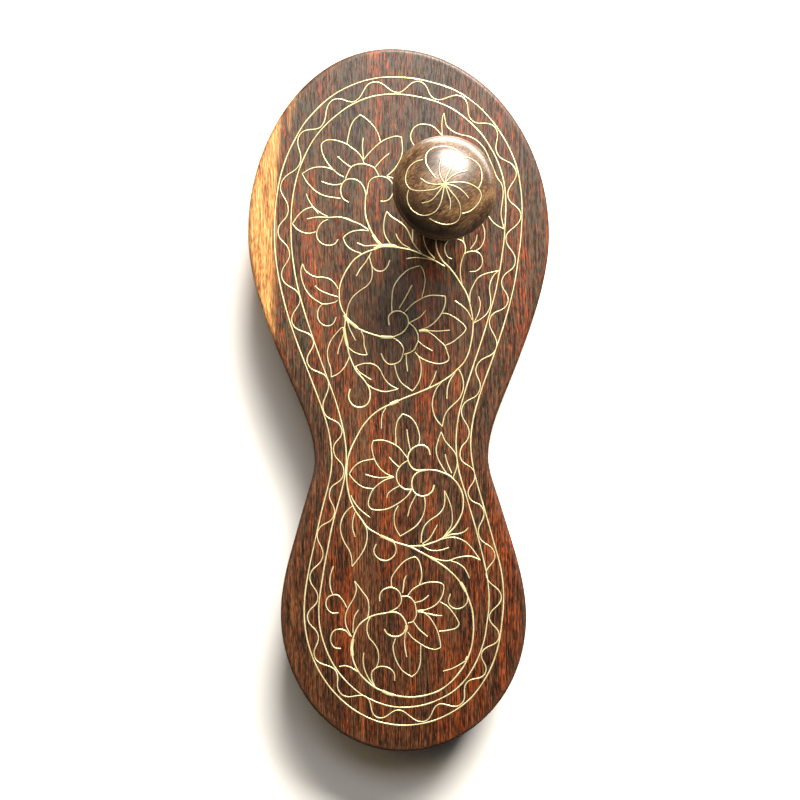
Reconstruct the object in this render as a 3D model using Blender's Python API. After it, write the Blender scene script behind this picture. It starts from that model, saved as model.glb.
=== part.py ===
"""Toe knob sandal for the left foot, as a carver and a turner make it.

One block of hardwood is sawn to a waisted outline and carved underneath into a forefoot block, an
arch and a heel block. A turned knob stands in a blind hole between the first and second toe.
Brass wire is laid in grooves around the rim of the footbed.

Frame: metres, toe towards +Y, inner side of the left foot towards +X, floor at Z = 0.
"""
import math
from collections import namedtuple

import bpy
import numpy as np

MM = 0.001

# Sole, seen from above
LENGTH = 254.0 * MM
BALL_WIDTH = 108.8 * MM
WAIST_WIDTH = 62.7 * MM
HEEL_WIDTH = 88.8 * MM
TOE_LEAN = 2.2 * MM              # the tip of the toe bends this far to the outer side

# Sole, seen from the side
SOLE_HEIGHT = 35.0 * MM
BOARD_THICKNESS = 13.0 * MM
RIM_RADIUS = 1.5 * MM            # rounding along the upper edge
LOWER_RIM_RADIUS = 2.2 * MM      # rounding along the lower edge of the board
FOOT_SETBACK = 6.5 * MM          # the blocks stand this far in from the outline
FOOT_DRAFT = 2.0 * MM            # and lean in this much more down to the floor
FOOT_CHAMFER = 1.2 * MM          # broken edge around each bearing face

# Knob, heights above the footbed
KNOB_FROM_TOE = 56.0 * MM
KNOB_FROM_MIDDLE = 15.6 * MM
HEAD_DIAMETER = 35.2 * MM
HEAD_HEIGHT = 19.0 * MM
KNOB_HEIGHT = 49.0 * MM
NECK_DIAMETER = 13.0 * MM        # at its narrowest
NECK_FOOT_DIAMETER = 19.2 * MM   # where it meets the collar
COLLAR_DIAMETER = 24.0 * MM
COLLAR_HEIGHT = 3.6 * MM
COLLAR_RADIUS = 0.6 * MM         # rounding of the collar's edges
TENON_DIAMETER = 12.0 * MM
TENON_LENGTH = 21.0 * MM
TENON_CHAMFER = 1.2 * MM

# Brass border of the footbed, three wires hammered on edge into grooves
BORDER_INSET = 9.0 * MM          # outline to the outer wire
BORDER_BAND = 5.7 * MM           # outer wire to inner wire
WIRE_WIDTH = 0.7 * MM
WIRE_DEPTH = 1.2 * MM
WAVE_WIRE_WIDTH = 0.6 * MM
WAVE_WIRE_DEPTH = 1.0 * MM
WIRE_PROUD = 0.1 * MM            # the wires stand this far out of the wood
WAVE_COUNT = 35
WAVE_START = 0.45                # first crest after the heel's tip, in waves

# Fits
SEAT_GAP = 0.3 * MM              # between a piece and the face that carries it
HOLE_GAP = 0.3 * MM              # around the tenon
GROOVE_GAP = 0.3 * MM            # beside each wire

# How finely round forms are cut
OUTLINE_STEP = 7.5 * MM
TURNING_SIDES = 32
NECK_STEPS = 8                   # rings along the neck
WAVE_STEPS = 6                   # straight pieces in one wave

# Outline, heel to toe. station: share of the length, from the heel. width: the width that the
# row grows to. grown: 0 at the waist's width, 1 at that width. lean: slope of the outline there,
# against the straight line from the waist to the widest place.
OutlineRow = namedtuple("OutlineRow", "station width grown lean")
OUTLINE = (
    OutlineRow(station=0.193, width=HEEL_WIDTH, grown=1.0, lean=0.0),
    OutlineRow(station=0.295, width=HEEL_WIDTH, grown=0.64, lean=1.31),
    OutlineRow(station=0.370, width=HEEL_WIDTH, grown=0.20, lean=1.40),
    OutlineRow(station=0.417, width=WAIST_WIDTH, grown=1.0, lean=0.0),
    OutlineRow(station=0.512, width=BALL_WIDTH, grown=0.29, lean=1.48),
    OutlineRow(station=0.736, width=BALL_WIDTH, grown=1.0, lean=0.0),
)
WAIST_ROW = 3

# Underside, heel to toe. lift: 0 on the floor, 1 at the underside of the board.
UndersideRow = namedtuple("UndersideRow", "station lift")
UNDERSIDE = (
    UndersideRow(station=0.000, lift=1.0),
    UndersideRow(station=0.024, lift=1.0),
    UndersideRow(station=0.085, lift=0.0),
    UndersideRow(station=0.290, lift=0.0),
    UndersideRow(station=0.375, lift=1.0),
    UndersideRow(station=0.535, lift=1.0),
    UndersideRow(station=0.615, lift=0.0),
    UndersideRow(station=0.828, lift=0.0),
    UndersideRow(station=0.925, lift=1.0),
    UndersideRow(station=1.000, lift=1.0),
)

# Side of the blocks under the board. setback: share of FOOT_SETBACK. drop: share of the way from
# the board's underside to the floor.
CoveRow = namedtuple("CoveRow", "setback drop")
COVE = (
    CoveRow(setback=0.66, drop=0.05),
    CoveRow(setback=1.00, drop=0.20),
)

# Head of the knob. DOME_SHARE: how much of its height lies above its widest place. The angles run
# from the top to the widest place, and on from there to the throat under the head.
DOME_SHARE = 0.56
DOME_ANGLES = (12, 24, 36, 48, 60, 72, 82, 90)
BOWL_ANGLES = (12, 28, 46, 62)
NECK_HOLLOW = 1.4                # above 1, the neck is hollowed more towards its middle

# Border, heel to toe. inner and outer: inset of the outer wire on the foot's inner and outer
# side, as shares of BORDER_INSET. band: distance to the inner wire, as a share of BORDER_BAND.
BorderRow = namedtuple("BorderRow", "station inner outer band")
BORDER = (
    BorderRow(station=0.000, inner=1.07, outer=1.07, band=1.14),
    BorderRow(station=0.050, inner=0.98, outer=1.06, band=1.04),
    BorderRow(station=0.180, inner=1.01, outer=0.96, band=0.92),
    BorderRow(station=0.260, inner=0.75, outer=0.89, band=0.95),
    BorderRow(station=0.330, inner=0.70, outer=0.77, band=0.86),
    BorderRow(station=0.404, inner=0.62, outer=0.67, band=0.92),
    BorderRow(station=0.460, inner=0.85, outer=0.72, band=0.94),
    BorderRow(station=0.510, inner=0.94, outer=0.79, band=0.98),
    BorderRow(station=0.600, inner=1.06, outer=0.90, band=1.07),
    BorderRow(station=0.694, inner=1.19, outer=1.05, band=1.05),
    BorderRow(station=0.744, inner=1.13, outer=1.07, band=1.05),
    BorderRow(station=0.840, inner=0.83, outer=0.99, band=1.00),
    BorderRow(station=0.907, inner=0.79, outer=0.98, band=1.05),
    BorderRow(station=0.958, inner=0.86, outer=1.06, band=1.13),
    BorderRow(station=1.000, inner=1.17, outer=1.17, band=1.08),
)

BOARD_UNDERSIDE = SOLE_HEIGHT - BOARD_THICKNESS


def clear_scene():
    """Start from an empty scene."""
    for old in list(bpy.data.objects):
        bpy.data.objects.remove(old, do_unlink=True)


def material(name, colour, roughness, metallic=0.0):
    """One Principled material with the piece's own colour."""
    made = bpy.data.materials.new(name)
    made.use_nodes = True
    shader = made.node_tree.nodes["Principled BSDF"]
    shader.inputs["Base Color"].default_value = (*colour, 1.0)
    shader.inputs["Roughness"].default_value = roughness
    shader.inputs["Metallic"].default_value = metallic
    made.diffuse_color = (*colour, 1.0)
    return made


def add_mesh(name, points, faces, finish, smooth_angle=None):
    """Put points and faces into a new object at the origin."""
    mesh = bpy.data.meshes.new(name)
    mesh.from_pydata([tuple(p) for p in points], [], faces)
    mesh.validate()
    mesh.materials.append(finish)
    if smooth_angle is not None:
        mesh.shade_smooth()
        mesh.set_sharp_from_angle(angle=smooth_angle)
    made = bpy.data.objects.new(name, mesh)
    bpy.context.scene.collection.objects.link(made)
    return made


def row_half_width(row):
    """Half width of the outline at one row of its table."""
    waist = WAIST_WIDTH / 2
    return waist + (row.width / 2 - waist) * row.grown


def half_width(station):
    """Half width at a share of the length: two half ellipses, joined by cubic stretches."""
    heel = OUTLINE[0]
    ball = OUTLINE[-1]
    waist = OUTLINE[WAIST_ROW]
    if station <= heel.station:
        along = 1 - station / heel.station
        return row_half_width(heel) * math.sqrt(max(0.0, 1 - along * along))
    if station >= ball.station:
        along = (station - ball.station) / (1 - ball.station)
        return row_half_width(ball) * math.sqrt(max(0.0, 1 - along * along))
    upper = next(i for i, row in enumerate(OUTLINE) if row.station >= station)
    a, b = OUTLINE[upper - 1], OUTLINE[upper]
    widest = heel if upper <= WAIST_ROW else ball
    straight = (row_half_width(widest) - WAIST_WIDTH / 2) / (widest.station - waist.station)
    span = b.station - a.station
    t = (station - a.station) / span
    rise = t * t * (3 - 2 * t)
    start = t * (1 - t) * (1 - t) * a.lean * straight * span
    end = t * t * (t - 1) * b.lean * straight * span
    return row_half_width(a) * (1 - rise) + row_half_width(b) * rise + start + end


def centre_line(station):
    """The middle of the outline: straight, then bending outwards over the toes."""
    ball = OUTLINE[-1].station
    past = max(0.0, (station - ball) / (1 - ball))
    return -TOE_LEAN * past ** 3


def underside_lift(station):
    """Height of the underside, as a share of the way from the floor to the board."""
    rows = np.array([(row.station, row.lift) for row in UNDERSIDE])
    return math.sin(math.pi / 2 * np.interp(station, rows[:, 0], rows[:, 1]))


def outline_stations():
    """Stations from heel to toe, evenly spaced along the edge between the tables' rows."""
    fine = (1 - np.cos(np.linspace(0, math.pi, 1500))) / 2
    edge = np.array([(half_width(s), s * LENGTH) for s in fine])
    run = np.concatenate([[0], np.cumsum(np.hypot(*np.diff(edge, axis=0).T))])
    rows = [row.station for row in OUTLINE] + [row.station for row in UNDERSIDE]
    keys = np.interp(sorted(set(rows)), fine, run)
    runs = [keys[:1]]
    for a, b in zip(keys[:-1], keys[1:]):
        steps = max(1, round((b - a) / OUTLINE_STEP))
        runs.append(np.linspace(a, b, steps + 1)[1:])
    return np.interp(np.concatenate(runs), run, fine)


STATIONS = outline_stations()


def outline_ring(inset):
    """The closed outline, moved in by one distance or by one for each point.

    The points run from the heel up the inner side to the toe, and back down the outer side.
    """
    up = [(centre_line(s) + half_width(s), (s - 0.5) * LENGTH) for s in STATIONS]
    down = [(centre_line(s) - half_width(s), (s - 0.5) * LENGTH) for s in STATIONS[-2:0:-1]]
    ring = np.array(up + down)
    along = np.roll(ring, -1, axis=0) - np.roll(ring, 1, axis=0)
    along /= np.linalg.norm(along, axis=1)[:, None]
    inwards = np.stack([-along[:, 1], along[:, 0]], axis=1)
    return ring + inwards * np.reshape(inset, (-1, 1))


def ring_stations():
    """The station of each point of a ring."""
    return np.concatenate([STATIONS, STATIONS[-2:0:-1]])


def band(first, second, count):
    """Faces between two rings of count points, facing out when first lies above second."""
    return [
        (first + i, second + i, second + (i + 1) % count, first + (i + 1) % count)
        for i in range(count)
    ]


def bearing_faces(start, count):
    """Faces across the lowest ring, one for each pair of stations, so that they follow the arch."""
    faces = []
    for i in range(count // 2):
        inner_side = [start + i, start + i + 1]
        outer_side = [start + (count - i - 1) % count, start + (count - i) % count]
        faces.append(tuple(dict.fromkeys(outer_side[::-1] + inner_side[::-1])))
    return faces


def sole_mesh(finish):
    """The carved block: rings from the footbed's rim down to the bearing faces."""
    eighth = math.sin(math.pi / 4)
    under = BOARD_UNDERSIDE
    rim = [
        (RIM_RADIUS, SOLE_HEIGHT),
        (RIM_RADIUS * (1 - eighth), SOLE_HEIGHT - RIM_RADIUS * (1 - eighth)),
        (0.0, SOLE_HEIGHT - RIM_RADIUS),
        (0.0, under + LOWER_RIM_RADIUS),
        (LOWER_RIM_RADIUS * (1 - eighth), under + LOWER_RIM_RADIUS * (1 - eighth)),
        (LOWER_RIM_RADIUS, under),
    ]
    block = [(FOOT_SETBACK * row.setback, row.drop) for row in COVE]
    block += [
        (FOOT_SETBACK + FOOT_DRAFT, 1 - FOOT_CHAMFER / under),
        (FOOT_SETBACK + FOOT_DRAFT + FOOT_CHAMFER, 1.0),
    ]
    drop = under * (1 - np.array([underside_lift(s) for s in ring_stations()]))
    rings = [np.column_stack([outline_ring(inset), np.full(len(drop), z)]) for inset, z in rim]
    rings += [np.column_stack([outline_ring(inset), under - drop * share]) for inset, share in block]
    count = len(drop)
    faces = [tuple(range(count))]
    for i in range(len(rings) - 1):
        faces += band(i * count, (i + 1) * count, count)
    faces += bearing_faces((len(rings) - 1) * count, count)
    return add_mesh("sole", np.concatenate(rings), faces, finish, math.radians(35))


def turned(name, profile, finish, place, smooth_angle=None):
    """A solid turned from rows of radius and height, top to bottom, closed at both ends."""
    angles = np.linspace(0, 2 * math.pi, TURNING_SIDES, endpoint=False)
    circle = np.column_stack([np.cos(angles), np.sin(angles)])
    top, bottom = profile[0][1], profile[-1][1]
    points = [(0, 0, top)]
    for radius, height in profile:
        points += [(x * radius, y * radius, height) for x, y in circle]
    points.append((0, 0, bottom))
    last = len(points) - 1
    foot = last - TURNING_SIDES
    faces = []
    for i in range(TURNING_SIDES):
        after = (i + 1) % TURNING_SIDES
        faces.append((0, 1 + i, 1 + after))
        faces.append((last, foot + after, foot + i))
    for i in range(len(profile) - 1):
        faces += band(1 + i * TURNING_SIDES, 1 + (i + 1) * TURNING_SIDES, TURNING_SIDES)
    return add_mesh(name, np.array(points) + np.array(place), faces, finish, smooth_angle)


def knob_profile():
    """Radius and height of the knob, top to bottom: domed head, waisted neck, collar, tenon."""
    head = HEAD_DIAMETER / 2
    neck = NECK_DIAMETER / 2
    collar = COLLAR_DIAMETER / 2
    tenon = TENON_DIAMETER / 2
    dome = HEAD_HEIGHT * DOME_SHARE
    bowl = HEAD_HEIGHT - dome
    equator = KNOB_HEIGHT - dome
    profile = []
    for angle in np.radians(DOME_ANGLES):
        profile.append((head * math.sin(angle), equator + dome * math.cos(angle)))
    for angle in np.radians(BOWL_ANGLES):
        profile.append((head * math.cos(angle), equator - bowl * math.sin(angle)))
    throat_radius, throat_height = profile[-1]
    shoulder = SEAT_GAP + COLLAR_HEIGHT
    for share in np.linspace(0, 1, NECK_STEPS + 1)[1:]:
        height = throat_height + (shoulder - throat_height) * share
        rim = throat_radius + (NECK_FOOT_DIAMETER / 2 - throat_radius) * share
        hollow = math.sin(math.pi * share) ** NECK_HOLLOW
        profile.append((rim + (neck - rim) * hollow, height))
    profile.append((collar - COLLAR_RADIUS, shoulder))
    profile.append((collar, shoulder - COLLAR_RADIUS))
    profile.append((collar, SEAT_GAP + COLLAR_RADIUS))
    profile.append((collar - COLLAR_RADIUS, SEAT_GAP))
    profile.append((tenon, SEAT_GAP))
    profile.append((tenon, SEAT_GAP - TENON_LENGTH + TENON_CHAMFER))
    profile.append((tenon - TENON_CHAMFER, SEAT_GAP - TENON_LENGTH))
    return profile


KNOB_PLACE = (KNOB_FROM_MIDDLE, LENGTH / 2 - KNOB_FROM_TOE, SOLE_HEIGHT)


def cut_away(sole, cutter):
    """Take a cutter's shape out of the sole."""
    cutter.hide_render = True
    cutter.display_type = "WIRE"
    cut = sole.modifiers.new(cutter.name, "BOOLEAN")
    cut.operation = "DIFFERENCE"
    cut.solver = "EXACT"
    cut.object = cutter


def knob_hole(sole):
    """Bore the blind hole that the knob's tenon is glued into."""
    radius = TENON_DIAMETER / 2 + HOLE_GAP
    profile = [(radius, COLLAR_HEIGHT), (radius, -TENON_LENGTH)]
    cutter = turned("knob_hole_cutter", profile, sole.data.materials[0], KNOB_PLACE)
    cut_away(sole, cutter)


def border_insets():
    """Insets of the border's outer and inner wire at each point of a ring."""
    rows = np.array(BORDER)
    stations = ring_stations()
    inner_side = np.arange(len(stations)) < len(STATIONS)
    outer_wire = BORDER_INSET * np.where(
        inner_side,
        np.interp(stations, rows[:, 0], rows[:, 1]),
        np.interp(stations, rows[:, 0], rows[:, 2]),
    )
    inner_wire = outer_wire + BORDER_BAND * np.interp(stations, rows[:, 0], rows[:, 3])
    return eased(outer_wire), eased(inner_wire)


def eased(values):
    """Take the corners off a closed run of values."""
    return (np.roll(values, 1) + 2 * values + np.roll(values, -1)) / 4


def closed_strip(name, path, width, low, high, finish):
    """A closed strip of rectangular section along a level path."""
    along = np.roll(path, -1, axis=0) - np.roll(path, 1, axis=0)
    along /= np.linalg.norm(along, axis=1)[:, None]
    side = np.stack([along[:, 1], -along[:, 0]], axis=1) * width / 2
    corners = [(side, low), (side, high), (-side, high), (-side, low)]
    points = np.concatenate([np.insert(path + offset, 2, z, axis=1) for offset, z in corners])
    count = len(path)
    faces = []
    for i in range(4):
        faces += band((i + 1) % 4 * count, i * count, count)
    return add_mesh(name, points, faces, finish)


def lay_wire(name, sole, path, width, depth, finish):
    """One closed wire of the border, and its groove in the sole."""
    top = SOLE_HEIGHT + WIRE_PROUD
    closed_strip(name, path, width, top - depth, top, finish)
    floor = top - depth - SEAT_GAP
    groove = closed_strip(name + "_groove", path, width + 2 * GROOVE_GAP, floor, top + depth, finish)
    cut_away(sole, groove)


def wave_path(outer_wire, inner_wire):
    """The wire that swings between the other two: a cosine across the middle of the band."""
    middle = (outline_ring(outer_wire) + outline_ring(inner_wire)) / 2
    across = outline_ring(outer_wire) - middle
    lengths = np.linalg.norm(np.roll(middle, -1, axis=0) - middle, axis=1)
    run = np.concatenate([[0], np.cumsum(lengths)])
    turns = np.arange(WAVE_COUNT * WAVE_STEPS) / WAVE_STEPS
    at = (turns + WAVE_START) % WAVE_COUNT / WAVE_COUNT * run[-1]
    swing = np.cos(2 * math.pi * turns)[:, None]
    clear = (WIRE_WIDTH + WAVE_WIRE_WIDTH) / 2 + GROOVE_GAP
    reach = np.linalg.norm(across, axis=1)[:, None]
    across = across * (1 - clear / reach)
    closed = [np.concatenate([part, part[:1]]) for part in (middle, across)]
    place, aside = (
        np.column_stack([np.interp(at, run, part[:, axis]) for axis in range(2)]) for part in closed
    )
    return place + aside * swing


def brass_border(sole, brass):
    """Two wires that follow the outline, and the wave between them."""
    outer_wire, inner_wire = border_insets()
    for name, inset in (("border_wire_outer", outer_wire), ("border_wire_inner", inner_wire)):
        lay_wire(name, sole, outline_ring(inset), WIRE_WIDTH, WIRE_DEPTH, brass)
    wave = wave_path(outer_wire, inner_wire)
    lay_wire("border_wire_wave", sole, wave, WAVE_WIRE_WIDTH, WAVE_WIRE_DEPTH, brass)


def main():
    clear_scene()
    rosewood = material("sole_wood", (0.16, 0.045, 0.022), 0.38)
    turned_wood = material("knob_wood", (0.20, 0.085, 0.035), 0.25)
    brass = material("brass_wire", (0.78, 0.66, 0.36), 0.3, metallic=1.0)
    sole = sole_mesh(rosewood)
    knob_hole(sole)
    brass_border(sole, brass)
    turned("toe_knob", knob_profile(), turned_wood, KNOB_PLACE, math.radians(40))


main()
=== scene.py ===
# %% [markdown]
# # Toe knob sandal for the left foot
#
# The solids of the sandal come packed, as a fixed frame. This script dresses them: the carved
# rosewood sole, the turned knob, and the brass wire inlaid in both. Every piece is computed from
# sizes in millimetres, so that a cell can be read, changed and run again by itself.

# %% Frame and tools
import math

import bpy
import numpy as np
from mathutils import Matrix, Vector


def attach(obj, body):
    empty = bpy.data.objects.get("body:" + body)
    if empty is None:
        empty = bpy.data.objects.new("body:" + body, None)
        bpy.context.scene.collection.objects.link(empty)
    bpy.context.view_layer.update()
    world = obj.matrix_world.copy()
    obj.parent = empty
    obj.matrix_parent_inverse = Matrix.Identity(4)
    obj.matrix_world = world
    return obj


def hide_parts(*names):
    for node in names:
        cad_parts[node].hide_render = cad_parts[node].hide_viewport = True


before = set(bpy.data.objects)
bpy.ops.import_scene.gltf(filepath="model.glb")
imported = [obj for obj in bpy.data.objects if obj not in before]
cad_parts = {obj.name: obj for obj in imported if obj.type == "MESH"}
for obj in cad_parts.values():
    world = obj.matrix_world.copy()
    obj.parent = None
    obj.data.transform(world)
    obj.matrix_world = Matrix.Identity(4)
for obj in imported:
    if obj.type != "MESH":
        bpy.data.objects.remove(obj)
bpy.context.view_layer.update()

MM = 0.001
print("frame:", sorted(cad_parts))

# %% [markdown]
# ## Sizes
#
# The sizes of the solids, repeated from the part's source. Lengths are in metres, most tables are
# shares of these lengths, and a station is a share of the sole's length, counted from the heel.

# %% Sizes of the solids
LENGTH = 254.0 * MM
BALL_WIDTH = 108.8 * MM
WAIST_WIDTH = 62.7 * MM
HEEL_WIDTH = 88.8 * MM
TOE_LEAN = 2.2 * MM
SOLE_HEIGHT = 35.0 * MM
BOARD_THICKNESS = 13.0 * MM
BOARD_UNDERSIDE = SOLE_HEIGHT - BOARD_THICKNESS
RIM_RADIUS = 1.5 * MM
LOWER_RIM_RADIUS = 2.2 * MM
FOOT_SETBACK = 6.5 * MM
FOOT_DRAFT = 2.0 * MM
FOOT_CHAMFER = 1.2 * MM
COVE_DROP = 0.20                 # share of the way from the board's underside to the floor

KNOB_PLACE = np.array([15.6, 71.0, 35.0]) * MM
HEAD_DIAMETER = 35.2 * MM
HEAD_HEIGHT = 19.0 * MM
KNOB_HEIGHT = 49.0 * MM
NECK_DIAMETER = 13.0 * MM
NECK_FOOT_DIAMETER = 19.2 * MM
COLLAR_DIAMETER = 24.0 * MM
COLLAR_HEIGHT = 3.6 * MM
COLLAR_RADIUS = 0.6 * MM
TENON_DIAMETER = 12.0 * MM
TENON_LENGTH = 21.0 * MM
TENON_CHAMFER = 1.2 * MM
SEAT_GAP = 0.3 * MM              # room for glue under the collar
HOLE_GAP = 0.3 * MM              # room for glue around the tenon
DOME_SHARE = 0.56                # share of the head that lies above its widest place
NECK_HOLLOW = 1.4                # above 1, the hollow gathers in the middle of the neck
LIP_GROOVE = 0.18 * MM           # depth of the fine turned line just inside the edge of the head
LIP_ANGLE = math.radians(76)     # its place on the dome, counted from the top
LIP_SPREAD = math.radians(2.4)

BORDER_INSET = 9.0 * MM
BORDER_BAND = 5.7 * MM
BORDER_WIRE_WIDTH = 0.42 * MM
STEM_WIRE_WIDTH = 0.46 * MM
FINE_WIRE_WIDTH = 0.38 * MM
JOIN_WIDTH = 1.0 * MM            # where two wires are hammered into one groove
WIRE_PROUD = 0.1 * MM
WIRE_SINK = 0.3 * MM
SEAM_WIDTH = 0.20 * MM           # dark filler and painted groove shade on each side of a wire
SEAM_PROUD = 0.015 * MM

# station, width that the row grows to, grown share, lean of the outline against the straight line
OUTLINE = np.array([
    (0.193, HEEL_WIDTH, 1.00, 0.00),
    (0.295, HEEL_WIDTH, 0.64, 1.31),
    (0.370, HEEL_WIDTH, 0.20, 1.40),
    (0.417, WAIST_WIDTH, 1.00, 0.00),
    (0.512, BALL_WIDTH, 0.29, 1.48),
    (0.736, BALL_WIDTH, 1.00, 0.00),
])
WAIST_STATION = 0.417

# station, lift: 0 on the floor, 1 at the underside of the board
UNDERSIDE = np.array([
    (0.000, 1), (0.024, 1), (0.085, 0), (0.290, 0), (0.375, 1),
    (0.535, 1), (0.615, 0), (0.828, 0), (0.925, 1), (1.000, 1),
])

# turns of the wave, outwards and inwards in turn: millimetres along the outline from the heel's
# tip, and millimetres in from the edge
WAVE = np.array([
    (9.4, 10.2), (18.8, 14.1), (28.4, 9.6), (37.8, 13.5), (46.5, 9.9), (54.6, 14.0), (63.5, 9.4),
    (72.5, 13.5), (81.3, 8.7), (90.6, 12.5), (98.4, 7.4), (106.0, 10.9), (114.4, 6.6), (120.9, 10.1),
    (127.3, 5.8), (133.1, 10.3), (138.5, 7.8), (146.3, 12.6), (153.4, 8.8), (161.3, 13.1),
    (169.8, 9.0), (179.6, 14.9), (187.3, 10.7), (195.6, 14.9), (203.8, 11.5), (214.0, 15.7),
    (223.8, 10.0), (232.5, 13.6), (242.5, 8.3), (251.9, 12.0), (261.6, 7.8), (270.6, 12.6),
    (280.0, 8.6), (290.6, 14.5), (300.0, 10.7), (310.3, 16.0), (322.5, 11.7), (335.0, 15.8),
    (344.8, 10.9), (356.3, 14.5), (365.3, 9.7), (376.3, 14.1), (386.9, 9.9), (397.8, 14.1),
    (406.5, 10.9), (416.0, 14.5), (426.0, 10.2), (435.0, 14.5), (444.0, 8.8), (452.3, 13.5),
    (460.0, 8.3), (468.1, 12.6), (477.8, 6.9), (484.6, 11.2), (490.3, 7.0), (496.5, 10.8),
    (502.3, 7.4), (510.4, 11.3), (517.9, 7.4), (526.3, 11.5), (534.0, 8.8), (543.1, 13.0),
    (551.3, 9.7), (560.6, 12.9), (569.4, 9.7), (579.8, 14.4), (589.8, 10.9), (601.0, 15.9),
    (611.3, 10.9), (621.5, 15.1),
]) * MM

# station, inset of the outer wire on the foot's inner side and on its outer side, width of the band
BORDER = np.array([
    (0.000, 1.07, 1.07, 1.14), (0.050, 0.98, 1.06, 1.04), (0.180, 1.01, 0.96, 0.92),
    (0.260, 0.75, 0.89, 0.95), (0.330, 0.70, 0.77, 0.86), (0.404, 0.62, 0.67, 0.92),
    (0.460, 0.85, 0.72, 0.94), (0.510, 0.94, 0.79, 0.98), (0.600, 1.06, 0.90, 1.07),
    (0.694, 1.19, 1.05, 1.05), (0.744, 1.13, 1.07, 1.05), (0.840, 0.83, 0.99, 1.00),
    (0.907, 0.79, 0.98, 1.05), (0.958, 0.86, 1.06, 1.13), (1.000, 1.17, 1.17, 1.08),
])

SIDE_POINTS = 280                # points along one side of the sole
HOLE_SIDES = 64
TURNING_SIDES = 144
WIRE_STEP = 0.6 * MM
ROUND_STEPS = 6                  # rings in a quarter round

rng = np.random.default_rng(11)

# %% [markdown]
# ## Meshes
#
# All surfaces are grids of rings. One function makes the faces of a grid, and one puts a piece
# into the scene and makes it ride on the sandal.


# %% Mesh tools
def grid_faces(rows, columns):
    """Faces of a grid of closed rows that lie one after another."""
    row = np.arange(rows - 1)[:, None] * columns
    first = np.arange(columns)[None, :]
    after = (first + 1) % columns
    faces = np.stack([row + first, row + columns + first, row + columns + after, row + after], axis=-1)
    return faces.reshape(-1, 4)


def add_piece(name, points, faces, finish, slot, stands_for=(), smooth_angle=40, attributes=None):
    """Put points and faces into a new object at the origin, riding on the sandal."""
    mesh = bpy.data.meshes.new(name)
    mesh.from_pydata(np.asarray(points).tolist(), [], faces)
    mesh.validate()
    mesh.materials.append(finish)
    mesh.shade_smooth()
    mesh.set_sharp_from_angle(angle=math.radians(smooth_angle))
    for label, values in (attributes or {}).items():
        mesh.attributes.new(label, "FLOAT", "POINT").data.foreach_set("value", np.asarray(values, float))
    piece = bpy.data.objects.new(name, mesh)
    bpy.context.scene.collection.objects.link(piece)
    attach(piece, "root")
    if stands_for:
        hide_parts(*stands_for)
    print(f"{name}: {len(points)} points, {len(faces)} faces")


def quarter():
    """Sines and cosines of ROUND_STEPS angles from 0 to a right angle."""
    angles = np.linspace(0, math.pi / 2, ROUND_STEPS)
    return np.sin(angles), np.cos(angles)


# %% [markdown]
# ## Materials
#
# The sole is rosewood: a fine straight grain along the foot, with dark pores, orange streaks and
# greyish fibres, and a rim of pale sapwood along the outer edge of the forefoot. It is waxed to a
# satin shine. Its colour also holds painted light: more grey towards the toes as a painted sheen,
# darker wood towards the heel as a painted shade, and a painted warm reflection on the sapwood.
# The knob is a paler hardwood, turned and polished, with painted shade on its side towards the
# heel. The wire is brass, filed flush and rubbed bright, in a thin seam of dark filler that also
# paints the shade of its groove. Noise that is stretched along the grain draws all of it: a
# picture could too, but noise has no seam where the wood turns down over the rim.


# %% Node tools
def new_material(name, viewport):
    """A material with only a Principled shader, and a function that adds linked nodes to it."""
    made = bpy.data.materials.new(name)
    made.use_nodes = True
    made.diffuse_color = (*viewport, 1.0)
    tree = made.node_tree
    shader = tree.nodes["Principled BSDF"]

    def node(kind, settings=None, **inputs):
        """Add a node; a value sets an input and a socket is linked to it: i0 is the first input."""
        added = tree.nodes.new(kind)
        for key, value in (settings or {}).items():
            setattr(added, key, value)
        for key, value in inputs.items():
            socket = added.inputs[int(key[1:]) if key[1:].isdigit() else key.replace("_", " ")]
            if isinstance(value, bpy.types.NodeSocket):
                tree.links.new(value, socket)
            else:
                socket.default_value = value
        return added

    def link(source, socket_name):
        """Link a socket to an input of the shader."""
        tree.links.new(source, shader.inputs[socket_name])

    return made, shader, node, link


def ramp(node, factor, stops):
    """A colour ramp from (place, colour) stops."""
    made = node("ShaderNodeValToRGB", i0=factor)
    elements = made.color_ramp.elements
    while len(elements) < len(stops):
        elements.new(0.5)
    for element, (place, colour) in zip(elements, stops):
        element.position = place
        element.color = (*colour, 1.0)
    return made.outputs["Color"]


def stretched(node, coordinates, scale, turn=(0.0, 0.0, 0.0), move=(0.0, 0.0, 0.0), detail=2.0, rough=0.5):
    """Noise whose cells are 1 / scale metres along each axis: a small scale draws long streaks."""
    mapped = node("ShaderNodeMapping", i0=coordinates, i1=move, i2=turn, i3=scale).outputs[0]
    noise = node("ShaderNodeTexNoise", i0=mapped, Scale=1.0, Detail=detail, Roughness=rough)
    return noise.outputs["Fac"]


def levels(node, value, low, high, new_low=0.0, new_high=1.0):
    """Spread a value from low..high to new_low..new_high."""
    made = node("ShaderNodeMapRange", i0=value, i1=low, i2=high, i3=new_low, i4=new_high)
    return made.outputs[0]


def mixed(node, factor, first, second, kind="MIX"):
    """One colour laid over another."""
    made = node("ShaderNodeMix", {"data_type": "RGBA", "blend_type": kind}, i0=factor, i6=first, i7=second)
    return made.outputs[2]


def summed(node, *values):
    """All the values added up."""
    total = values[0]
    for value in values[1:]:
        total = node("ShaderNodeMath", {"operation": "ADD"}, i0=total, i1=value).outputs[0]
    return total


def product(node, first, second):
    """Two values multiplied."""
    return node("ShaderNodeMath", {"operation": "MULTIPLY"}, i0=first, i1=second).outputs[0]


def wandering(node, place, scale, reach):
    """Coordinates pushed about by a slow noise, so that long streaks bend a little."""
    wander = node("ShaderNodeTexNoise", i0=place, Scale=scale, Detail=1.0).outputs["Color"]
    made = node("ShaderNodeVectorMath", {"operation": "MULTIPLY_ADD"}, i0=wander, i1=reach, i2=place)
    return made.outputs[0]


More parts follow.
